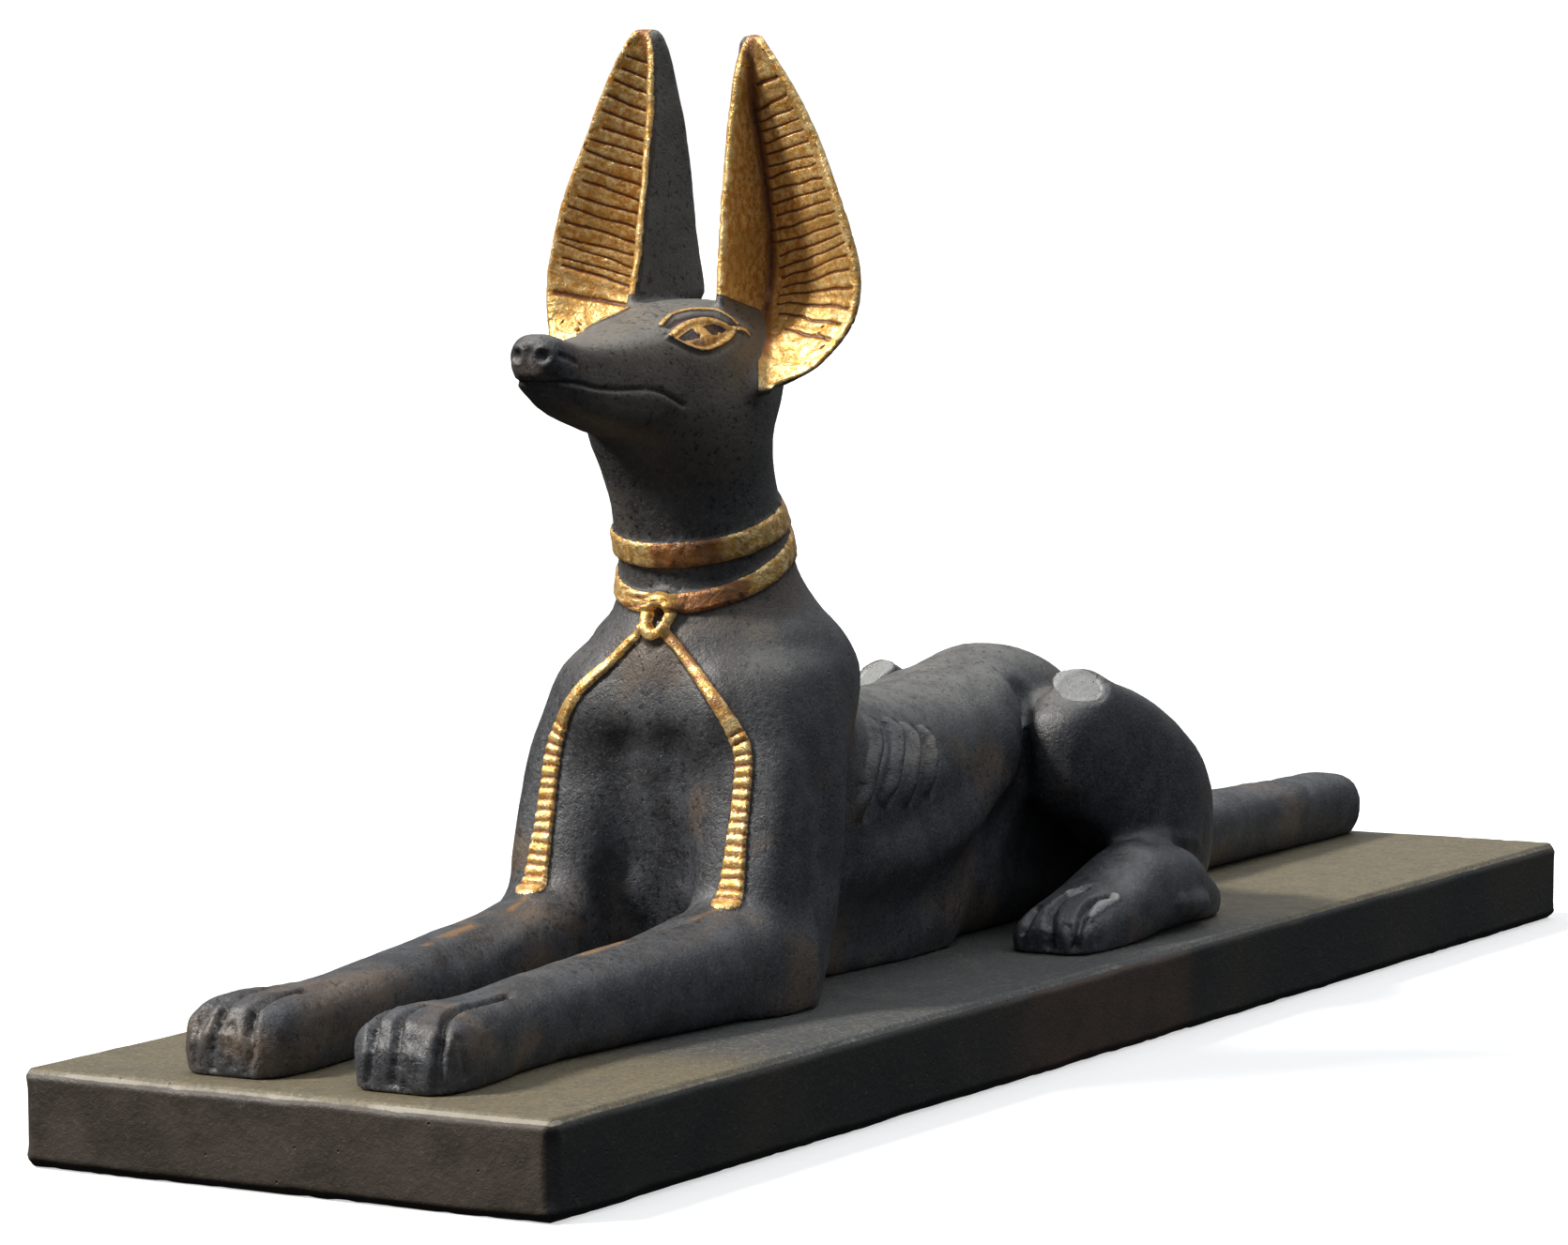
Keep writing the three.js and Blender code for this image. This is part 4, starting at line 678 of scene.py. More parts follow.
# Soft modelling of breast and legs: half width, depth and points.
MODELLING = [
    (4.0, -0.7, [(0, -98, 82), (0, -101, 74), (0, -102, 64)]),
    (3.8, 1.5, [(5, -99, 66), (5.4, -99, 58), (5.4, -98, 50), (5.8, -97, 44)]),
    (3.5, 0.7, [(9.5, -97, 42), (10, -98, 34)]),
    (3.0, 0.8, [(17, -118, 33), (14, -135, 31), (12.5, -150, 30)]),
    (4.0, 0.8, [(30, -88, 66), (31, -86, 56), (31, -88, 46), (30.5, -92, 38)]),
    (3.0, -0.5, [(29.5, -95, 66), (29.8, -98, 56), (30, -101, 46)]),
    (1.3, -0.7, [(43.2, 1.5, 26.5), (43.4, 6, 27.5), (43.5, 12, 28.2)]),
    (1.0, -0.7, [(37.1, 13.9, 29.9), (35.8, 11.3, 29.2), (34.6, 9.4, 28.7)]),
    (2.6, -0.7, [(47, 42, 24), (46.3, 50, 22)]),
    (2.2, 0.9, [(17.5, 24, 62), (18.5, 22.5, 56), (18, 21, 50)]),
    (0.5, 0.4, [(27, -72, 79), (28.4, -73, 77), (29, -77, 76.4), (28.2, -81, 77.4)])]

# Rubbed streaks of ochre on the forelegs.
OCHRE = [[(16.2, -150, 33.6), (17.6, -133, 34.6)], [(19.5, -116, 36.3), (22.5, -107, 37.6)]]
# Upright plane where the gilding ends at the foot of the ears.
EAR_ROOT = (0.8645, 0.5026, -28.3)
# Lower lip, slit of the nostril and groove under the nose: half width, depth and points.
FACE_LINES = [
    (1.0, -0.2, [(4.6, -135.5, 136.4), (7.2, -123, 134.2), (9.3, -113.8, 133.7), (10.8, -108.5, 132.8),
        (11.6, -104.8, 131)]),
    (0.5, 0.5, [(4.0, -136.4, 141.8), (5.4, -134.4, 141.3), (6, -132.6, 140.6)]),
    (0.5, 0.5, [(0, -138, 141.5), (0, -138.2, 137.4)])]
# Knot between the ribbons: middle, half width and half height of the loop and of its hole, and its height.
KNOT, KNOT_HALF, KNOT_HOLE, KNOT_RISE = (0.3, 91.2), (3.7, 4.6), (1.4, 2.1), 2.1
# Strands beside the knot: their spacing, and the depth of the seams between them.
STRAND_PITCH, STRAND_SEAM = 1.7, 0.55
# Ribbons: level of the lower end, height, length down to the first rung, spacing and depth of the rungs.
RIBBON_END, RIBBON_RISE, RUNG_FROM, RUNG_PITCH, RUNG_DEPTH = 34.4, 1.15, 24, 2.15, 0.5
# Height of the neck bands, and how far hand work strays from a line.
COLLAR_RISE, STRAY = 0.9, 0.25
# Nostril: x and z of its middle, radius and depth.
NOSTRIL, NOSTRIL_RADIUS, NOSTRIL_DEPTH = (2.85, 141.9), 1.0, 0.9
# Sunken field of the eye, swell of the ball, its middle and half sizes in the unrolled head.
EYE_DEPTH, BALL_RISE, BALL_MIDDLE, BALL_HALF = 0.55, 0.8, (-98, 6.7), (7, 3.6)
# Carved lines of the ears: depth, and half width as a share of their spacing.
EAR_LINE_DEPTH, EAR_LINE_HALF = 0.5, 0.14
# Facet on the knee: middle, outward direction and radius.
KNEE_FACET = (24.9, 32.2, 68.3), (0.454, -0.525, 0.727), 5.2
# From a rib to the hollow behind it.
RIB_SHADOW = (0.2, 2.5, -0.5)
# Shallow dents across the tail: place along y and width.
TAIL_DENTS = [(168, 1.8), (178, 1.5), (187, 2.0), (199, 1.6)]


def ear_place(P):
    """Distance to the ear's wall, depth on its hollow side, length from its fold, width of both its parts."""
    s, c = table(EAR)
    z = np.clip(P[:, 2], s[0], s[-1])
    mx, my, fx, fy, ex, ey = [np.interp(z, s, col) for col in c]
    x, y = np.abs(P[:, 0]), P[:, 1]
    best = np.full(len(P), 1e3)
    side, place = np.zeros(len(P)), np.zeros(len(P))

    def wall(ax, ay, bx, by, start, sign):
        nonlocal best, side, place
        dx, dy = bx - ax, by - ay
        size = np.sqrt(dx * dx + dy * dy) + 1e-6
        t = ((x - ax) * dx + (y - ay) * dy) / size ** 2
        k = np.clip(t, 0, 1)
        r = np.sqrt((x - ax - k * dx) ** 2 + (y - ay - k * dy) ** 2)
        over = np.maximum(t - 1, 0) * size if sign > 0 else 0
        s1 = ((x - ax) * dy - (y - ay) * dx) / size
        nearer = r < best - 1e-6
        side = np.where(nearer, s1, side)
        place = np.where(nearer, start + sign * (k if sign > 0 else 1 - k) * size + over, place)
        best = np.where(nearer, r, best)
        return size
    medial = wall(mx, my, fx, fy, 0, -1)
    corners, start = ear_wing(fx, fy, ex, ey), 0
    for a, b in zip(corners[:-1], corners[1:]):
        start = start + wall(*a, *b, start, 1)
    return best, side, place, start, medial


def rounded(points, count):
    """More points along a chain, on a smooth curve through the given ones."""
    p = np.array(points, float)
    s = lengths(p[:, :3])
    fine = np.linspace(0, s[-1], count)
    return np.stack([curve(s, column, fine) for column in p.T], 1)


def head_turn(x, z):
    """Way round the head's axis, in the unrolled millimetres of the eye."""
    return np.degrees(np.arctan2(z - HEAD_AXIS, x + 1e-9)) * HEAD_TURN


# Wanted length of the triangles' edges, in mm, on the plain coat and on finer parts.
LARGEST_EDGE = 3.1
EDGES = {"mouth": 0.42, "eye": 0.42, "ribbon": 0.5, "ear_lines": 0.54, "collar": 0.55, "rim": 0.6,
         "nose": 0.62, "stroke": 0.7, "hind_paw": 0.75, "forepaw": 1.0, "ear": 1.3}
FAR = 999
# Boxes round parts of the animal, folded onto its left half: limits along x, y and z.
REGIONS = {
    "neck": ((-1, 24), (-104, -50), (78, 122)),
    "collar": ((-1, 22), (-FAR, -55), (80, 112)),
    "ear": ((6, FAR), (-92, -60), (137, FAR)),
    "face": ((3, 19), (-109, -83), (137, 152)),
    "eye": ((3.5, FAR), (-108, -84), (138.6, 152)),
    "nose": ((-1, FAR), (-FAR, -126), (130, FAR)),
    "forepaw": ((-1, FAR), (-FAR, -190), (-FAR, 33)),
    "hind_paw": ((30, FAR), (-20, 14), (-FAR, 32)),
    "toes": ((-1, FAR), (-FAR, -196), (-FAR, FAR)),
    "hind_toes": ((30, FAR), (-8, 14), (22, FAR))}


def region(A, name):
    """Whether each point lies in the named box."""
    low, high = np.array(REGIONS[name]).T
    return ((A > low) & (A < high)).all(1)


class Carving:
    """Everything carved or gilded on the body, from chains of points that are first drawn onto it."""

    def __init__(self, base):
        self.strokes = {k: (h, d, settle(base, rounded(p, 3 * len(p)))) for k, (h, d, p) in STROKES.items()}
        self.right = {k: settle(base, p) for k, p in RIGHT_TOES.items()}
        self.claws = {k: (h, d, settle(base, p)) for k, (h, d, p) in CLAWS.items()}
        self.soft = [(h, d, settle(base, p)) for h, d, p in MODELLING]
        self.ribbon = settle(base, rounded(RIBBON, 60))
        self.face = [(h, d, settle(base, p)) for h, d, p in FACE_LINES]
        self.bare = Field(base.lo, base.lo + base.step * (base.n - 1), base.step)
        self.bare.add(loft(2, NECK, 2.1), 8)
        self.bare.add(loft(1, HEAD), 4)

    def goal(self, P):
        """Wanted length of the triangles' edges."""
        A = folded(P)
        h = np.full(len(P), LARGEST_EDGE)

        def near(mask, size):
            h[mask] = np.minimum(h[mask], size)
        x, z = A[:, 0], A[:, 2]
        for name, (half, _, p) in self.strokes.items():
            d, _ = chain(p, A, half + 1.6)
            near(d < half + 1.2, EDGES["mouth" if name == "mouth" else "stroke"])
            if name.startswith("rib"):
                d, _ = chain(p + RIB_SHADOW, A, 3)
                near(d < 2.6, EDGES["stroke"])
        d, _ = chain(self.ribbon, A, 4)
        near(d < 3.4, EDGES["ribbon"])
        near(region(A, "collar") & (np.abs(collar_edge(A)) < 1.2), EDGES["collar"])
        _, side, place, wing, _ = ear_place(A)
        ear_zone = region(A, "ear")
        near(ear_zone, EDGES["ear"])
        near(ear_zone & (side > 0) & (place > 1), EDGES["ear_lines"])
        rim = np.minimum(np.abs(wing - place), np.abs(z - 140)) < 2
        near(ear_zone & (side > -0.5) & rim, EDGES["rim"])
        near(np.linalg.norm(A - KNEE_FACET[0], axis=1) < 7, EDGES["rim"])
        for name in ("nose", "forepaw", "hind_paw"):
            near(region(A, name), EDGES[name])
        turn = head_turn(x, z)
        near(region(A, "eye") & (turn > 2.4) & (turn < 15.4), EDGES["eye"])
        return h


def collar_edge(A):
    """Distance into the neck bands, above zero on them."""
    y, z = A[:, 1], A[:, 2]
    top1, low1 = 104.9 + 0.31 * (y + 95.6), 100.2 + 0.30 * (y + 95)
    top2, low2 = 94.5 + 0.47 * (y + 94.8), 91.1 + 0.40 * (y + 95.1)
    top2 = np.minimum(top2, low1 - 0.6)
    one = np.minimum(top1 - z, z - low1)
    two = np.minimum(top2 - z, z - low2)
    return np.maximum(one, two)


def raised(old, where, new):
    """A mark brought up to new values in one part."""
    return np.where(where, np.maximum(old, new), old)


def carve(P, tools, bare_distance):
    """Depth of the carving at each point, and the masks that the paint follows."""
    A = folded(P)
    x, y, z = A.T
    across, left = P[:, 0], P[:, 0] > 0
    gold = np.full(len(P), -3.0)
    depth, shade_and_bole, dark, groove_shade, rub_and_highlight, phase, ribbed = np.zeros((7, len(P)))

    wob = STRAY * grain(P, 2.3, 11)
    for name, (half, cut, p) in tools.strokes.items():
        for mine, line in ((left, p), (~left, tools.right.get(name, p))):
            add = groove(line, A[mine], half, cut)
            if name.startswith("rib"):
                add = add * tapered(line, A[mine])
            elif name.startswith("toe"):
                add = add * (1 - 0.55 * step01(25 - A[mine, 2], 5))
            depth[mine] += add
            # the bottoms of the toe and mouth grooves are painted darker as shade
            groove_shade[mine] += 1.7 * np.maximum(add / cut - 0.45, 0) if cut > 0 else 0
        if name.startswith("rib"):
            # the hollow behind the rib, painted darker as shade, and a painted highlight with the rubbed line
            # along its crest
            shadow = groove(p + RIB_SHADOW, A, 1.1, 0.9) * tapered(p + RIB_SHADOW, A)
            depth += shadow
            groove_shade += 0.3 * shadow
            rub_and_highlight += 0.25 * np.maximum(-groove(p - [0.2, 0.3, 0], A, 0.6, -1.0), 0)
    for half, cut, p in tools.soft:
        depth += groove(p, A, half, cut)
    for name, (half, cut, p) in tools.claws.items():
        mine = np.full(len(P), True) if name.startswith("hind") else left == name.startswith("left")
        depth[mine] += groove(p, A[mine], half, cut)
    for middle, size in TAIL_DENTS:
        depth += 0.32 * np.exp(-((y - middle) / size) ** 2) * step01(z - 28.5, 2.5) * (y > 150)
    for half, cut, p in tools.face:
        depth += groove(p, A, half, cut)
    r = np.sqrt((x - NOSTRIL[0]) ** 2 + (z - NOSTRIL[1]) ** 2)
    wing = 0.2 * np.exp(-((r - NOSTRIL_RADIUS - 0.7) / 0.4) ** 2)
    depth += np.where(y < -130, NOSTRIL_DEPTH * step01(NOSTRIL_RADIUS - r, 0.35) - wing, 0)

    # flat, rubbed facet on the knee, painted lighter: partly rubbing, partly a painted highlight
    centre, facing = np.array(KNEE_FACET[0]), np.array(KNEE_FACET[1])
    rel = A - centre
    lift = rel @ facing
    off = np.linalg.norm(rel - lift[:, None] * facing, axis=1)
    disc = step01(KNEE_FACET[2] - off, 0.25) * (np.abs(lift) < 3)
    rim = 0.35 * np.exp(-((off - KNEE_FACET[2] - 0.6) / 0.7) ** 2) * (np.abs(lift) < 3) * (rel[:, 2] < 1.5)
    depth += disc * np.clip(lift, -1.2, 2.0) + rim
    rub_and_highlight += disc
    # raised ridges of the modelling and the tops of the toes are painted lighter: partly rubbed, partly a
    # painted highlight
    for half, cut, p in tools.soft:
        if cut < 0 and half < 1.5:
            rub_and_highlight += 0.8 * groove(p, A, half, 1.0)
    rub_and_highlight += 0.8 * step01(-0.4 - depth, 0.4) * (region(A, "toes") | region(A, "hind_toes"))

    # bands round the neck, the two ribbons and the knot between them
    neck = region(A, "neck")
    band = np.where(neck, collar_edge(A) + 0.35 * wob, -3)
    depth -= COLLAR_RISE * step01(band, 0.35)
    depth += np.where(neck, 0.12 * grain(P, 1.1, 5) * (band > 0), 0)
    gold = np.maximum(gold, np.clip(band + 0.1, -3, 3))
    d, s = chain(tools.ribbon, A, 4)
    half = np.interp(s, lengths(tools.ribbon[:, :3]), tools.ribbon[:, 3])
    end = z - RIBBON_END - 0.1 * (x - 21)
    strip = np.minimum(half * (0.82 + 0.18 * step01(s - RUNG_FROM, 4)) - d + 0.3 * wob, end)
    rung = 0.5 - 0.5 * np.cos(2 * np.pi * (s + 0.5 * wob + 0.12 * np.sin(1.7 * s)) / RUNG_PITCH)
    rungs = step01(s - RUNG_FROM, 1.5)
    depth -= (RIBBON_RISE - RUNG_DEPTH * rung ** 3 * rungs) * step01(strip, 0.3) * (d < 4)
    gold = raised(gold, d < 4, strip + 0.1)
    # rungs painted dark red-brown: red bole with painted shade in their grooves
    shade_and_bole = raised(shade_and_bole, (d < 4) & (strip > -0.4), 0.85 * rung ** 4 * rungs)
    # the plain upper part of the ribbons is darker, more on the left one: painted shadow of the head
    plain = step01(RUNG_FROM - s, 3) * (0.35 + 0.45 * grain(P, 1.4, 18)) * np.where(left, 1, 0.4)
    shade_and_bole = raised(shade_and_bole, (d < 4) & (strip > -0.4), plain)
    # the middle of the neck bands is painted dark red-brown: painted shadow of the head
    head_shadow = np.where(z < 98.5, step01(across - 3, 1) * step01(14.5 - across, 1),
                      step01(across + 1, 1) * step01(12 - across, 2))
    shade_and_bole = raised(shade_and_bole, neck & (band > -0.3), head_shadow * (0.72 + 0.3 * grain(P, 1.7, 19)))
    loop = np.hypot((across - KNOT[0]) / KNOT_HALF[0], (z - KNOT[1]) / KNOT_HALF[1])
    hole = np.hypot((across - KNOT[0] - 0.2) / KNOT_HOLE[0], (z - KNOT[1] + 0.6) / KNOT_HOLE[1])
    front = (y < -90) & (z < 98)
    out, hollow = (1 - loop) * KNOT_HALF[0] + 0.3 * wob, (hole - 1) * KNOT_HOLE[0]
    height = (KNOT_RISE + 0.3 * grain(P, 1.2, 7)) * np.sqrt(step01(out - 0.1, 0.9)) * step01(hollow, 0.35)
    depth -= np.where(front, height, 0)
    gold = raised(gold, front & (out > -0.4), np.minimum(out + 0.1, 3))
    dark = raised(dark, front & (out > 0), step01(-0.15 - hollow, 0.2))
    strands = front & (across < -1.5) & (across > -16) & (band > 0)
    turn = (z - 92.6 - 0.05 * (across + 8)) / STRAND_PITCH
    seam = np.exp(-((turn - np.round(turn)) / 0.16) ** 2)
    depth += np.where(strands, STRAND_SEAM * seam, 0)
    # seams between the strands are painted darker as shade
    shade_and_bole = raised(shade_and_bole, strands, 0.9 * seam)

    # eye and brow
    Q = np.stack([y, head_turn(x, z)], 1)
    face = region(A, "face")
    unrolled = [1, HEAD_TURN]
    up, low, brow, crease = (chain(np.array(line) * unrolled, Q, reach)[0] for line, reach in (
        (UPPER_LID, 3), (LOWER_LID, 3), (BROW, 4), (BROW_GROOVE, 4)))
    whole, first, last = (inside(np.array(line) * unrolled, Q) for line in (
        UPPER_LID[:10] + LOWER_LID[::-1], FRONT_CORNER, REAR_CORNER))
    corner = np.maximum(first, last)
    u, v = ((Q - BALL_MIDDLE) / BALL_HALF).T
    ball = np.clip(1 - u ** 2 - v ** 2, 0, 1)
    eye = EYE_DEPTH * step01(whole - 0.7, 0.3) - BALL_RISE * ball * step01(whole - 0.7, 0.4)
    eye += 0.25 * step01(corner, 0.2)
    rims = 0.5 * step01(0.62 - up, 0.3) + 0.35 * step01(0.35 - low, 0.2) + 0.5 * step01(0.5 - brow, 0.3)
    crease_cut = 0.65 * np.exp(-(crease / 0.75) ** 2) * step01(0.3 + np.minimum(brow, up) - 0.5, 0.3)
    rims -= crease_cut + 0.3 * np.exp(-((low - 0.95) / 0.4) ** 2) * (whole < 0)
    depth += np.where(face, eye - rims, 0)
    thin = 1 - 0.35 * step01(Q[:, 0] + 90.5, 1.5)
    for mark in (0.5 * thin - up, 0.44 * thin - brow, whole + 0.1):
        gold = raised(gold, face, mark)
    dark = raised(dark, face, step01(corner + 0.05, 0.16))
    worn = step01(whole - 0.45, 0.2) * (0.42 + 0.4 * grain(P, 0.7, 17)) * step01(6.3 - Q[:, 1], 0.8)
    shade_and_bole = raised(shade_and_bole, face, worn)
    # the crease under the brow is painted darker as shade
    under = np.where(face, np.exp(-(crease / 0.6) ** 2), 0)

    # ears
    near, side, place, wing, medial = ear_place(A)
    ear_zone = (z > 134) & (near < 2.6) & (x > 5)
    hollow = np.where(place < 0, np.where(place < -medial + 0.9, side + 0.75, side), side)
    root = np.where(z < 151, x * EAR_ROOT[0] + y * EAR_ROOT[1] - EAR_ROOT[2], 3)
    inner = np.minimum(z - 147.6 + 0.22 * (y + 67), np.where(z < 156, (bare_distance - 0.15) * 0.9, 3))
    leaf = np.minimum(hollow, np.where(place < 0, inner, root))
    leaf = np.minimum(leaf, np.where((place < 0) & left, place + medial + 0.5 + 3 * step01(186 - z, 7), 3))
    leaf = raised(leaf, (place > 0) & (z > 148), 0.8 - (wing - place) + np.minimum(side + 0.9, 0))
    gold = raised(gold, ear_zone, np.clip(leaf + STRAY * wob, -3, 3))
    for lines, mine in ((EAR_LINES_LEFT, left), (EAR_LINES_RIGHT, ~left)):
        zone = ear_zone & mine & (side > 0.2)
        q = P[zone]
        level = []
        for i, (h, rise) in enumerate(lines):
            sag = 0.012 * np.maximum(153 - h, 0) * np.maximum(x[zone] - 20, 0)
            level.append(h + 0.35 * grain(q * [1, 1, 0] + [0, 0, 7 * i], 4, 51) + rise * (x[zone] - 12) - sag)
        count = sum(np.clip((a - z[zone]) / (a - b), 0, 1) for a, b in zip(level[:-1], level[1:]))
        phase[zone] = count
        start = step01(place[zone] - 3.0 - 1.6 * grain(q, 2.6, 21) - 2.5 * step01(160 - z[zone], 5), 0.9)
        rim = step01(wing[zone] - place[zone] - 0.9 - 1.2 * grain(q, 3.1, 22), 0.6)
        ribbed[zone] = start * rim * step01(count - 0.2, 0.2) * step01(len(lines) - 1.2 - count, 0.2)
    gap = np.abs(phase - np.round(phase))
    swell = 0.22 * np.cos(np.pi * np.minimum(gap, 0.5)) ** 2
    depth += ribbed * (EAR_LINE_DEPTH * np.exp(-(gap / EAR_LINE_HALF) ** 2) - swell - 0.12)
    off = np.maximum(np.where(place > 0, (place - 2.0) / 2.0, (-place - 1.6) / 1.6), 0)
    # the ear's fold is painted dark red-brown: painted shade in the fold over red bole
    fold = np.exp(-off ** 2) * step01(side + 0.4, 0.4) * step01(z - 141, 4) * (1 - 0.35 * step01(z - 192, 5))
    shade_and_bole = raised(shade_and_bole, ear_zone, fold)
    hammered = ear_zone & (side > 0.2) & (z < 147)
    depth += np.where(hammered, 0.12 * grain(P, 1.1, 8), 0)
    depth += np.where(ear_zone & (side > 0), 0.1 * grain(P, 1.7, 9), 0)

    # hand-worked unevenness of the whole
    calm = np.where(gold > -0.3, 0.35, 1.0)
    depth += calm * (0.16 * grain(P, 11.3, 1) + 0.1 * grain(P, 4.7, 2) + 0.045 * grain(P, 2.1, 3))
    paw = step01(-186 - y, 8) * step01(34 - z, 4)
    depth += paw * (0.22 * grain(P * [1, 1, 0.35], 1.9, 4) + 0.1 * grain(P, 1.1, 6))
    rub = np.clip(0.5 + 0.7 * grain(P, 14.0, 31) + 0.3 * grain(P, 5.0, 32), 0, 1)
    ochre = sum(np.exp(-(chain(p, A, 5)[0] / 1.5) ** 2) for p in OCHRE)
    ochre = ochre * np.clip(0.55 + 1.1 * grain(P * [1, 0.35, 1], 1.6, 33), 0, 1)
    return depth, dict(gold=gold, shade_and_bole=shade_and_bole, dark=dark, rub=rub, phase=phase, ribbed=ribbed, under=under,
                       rub_and_highlight=rub_and_highlight, groove_shade=groove_shade, ochre=ochre)


# Blender objects.

def mesh_object(name, P, F, marks, material):
    """A smooth-shaded mesh object, with one number at each corner point for every mark."""
    me = raw_mesh(name, P, F)
    me.validate()
    for key, values in marks.items():
        me.attributes.new(key, "FLOAT", "POINT").data.foreach_set("value", values.astype(np.float32))
    me.shade_smooth()
    me.materials.append(material)
    return linked(name, me)


class Paint:
    """A procedural material, built node by node. Sizes are in millimetres."""

    def __init__(self, name):
        self.material = bpy.data.materials.new(name)
        self.material.use_nodes = True
        self.tree = self.material.node_tree
        self.tree.nodes.clear()
        out = self.tree.nodes.new("ShaderNodeOutputMaterial")
        self.shader = self.tree.nodes.new("ShaderNodeBsdfPrincipled")
        self.tree.links.new(self.shader.outputs[0], out.inputs[0])
        self.coords = self.node("TexCoord", {}, "Object")

    def put(self, socket, value):
        if isinstance(value, bpy.types.NodeSocket):
            self.tree.links.new(value, socket)
        elif socket.type == "RGBA":
            socket.default_value = (*value, 1)
        else:
            socket.default_value = value

    def node(self, kind, values, out=0, **settings):
        """A node with its settings and inputs; gives back one of its outputs."""
        n = self.tree.nodes.new("ShaderNode" + kind)
        for key, value in settings.items():
            setattr(n, key, value)
        for key, value in values.items():
            self.put(n.inputs[key], value)
        return n.outputs[out]

    def set(self, **values):
        for key, value in values.items():
            self.put(self.shader.inputs[key.replace("_", " ")], value)

    def mark(self, name):
        return self.node("Attribute", {}, "Fac", attribute_name=name)

    def noise(self, size, detail=3.0, rough=0.5, warp=0.0):
        return self.node("TexNoise", {"Vector": self.coords, "Scale": 1000 / size, "Detail": detail,
                                      "Roughness": rough, "Distortion": warp}, "Fac")

    def cells(self, size):
        return self.node("TexVoronoi", {"Vector": self.coords, "Scale": 1000 / size}, "Distance")

    def axes(self, vector):
        """Outputs of a vector's three parts, by name."""
        n = self.tree.nodes.new("ShaderNodeSeparateXYZ")
        self.put(n.inputs[0], vector)
        return n.outputs

    def math(self, kind, a, b=0.0):
        return self.node("Math", {0: a, 1: b}, operation=kind)

    def times(self, a, b):
        return self.math("MULTIPLY", a, b)

    def plus(self, a, b):
        return self.math("ADD", a, b)

    def minus(self, a, b):
        return self.math("SUBTRACT", a, b)

    def about(self, noise, swing):
        """Noise as a change round zero."""
        return self.times(self.minus(noise, 0.5), swing)

    def span(self, value, a, b, low=0.0, high=1.0):
        """Smooth change from low to high as value goes from a to b."""
        values = dict(enumerate((value, a, b, low, high)))
        return self.node("MapRange", values, interpolation_type="SMOOTHSTEP")

    def mix(self, factor, a, b):
        return self.node("Mix", {0: factor, 6: a, 7: b}, 2, data_type="RGBA")

    def blend(self, factor, a, b):
        """Mix of two plain values."""
        return self.node("Mix", {0: factor, 2: a, 3: b})

    def bump(self, height, distance):
        return self.node("Bump", {"Strength": 1.0, "Distance": distance * MM, "Height": height})


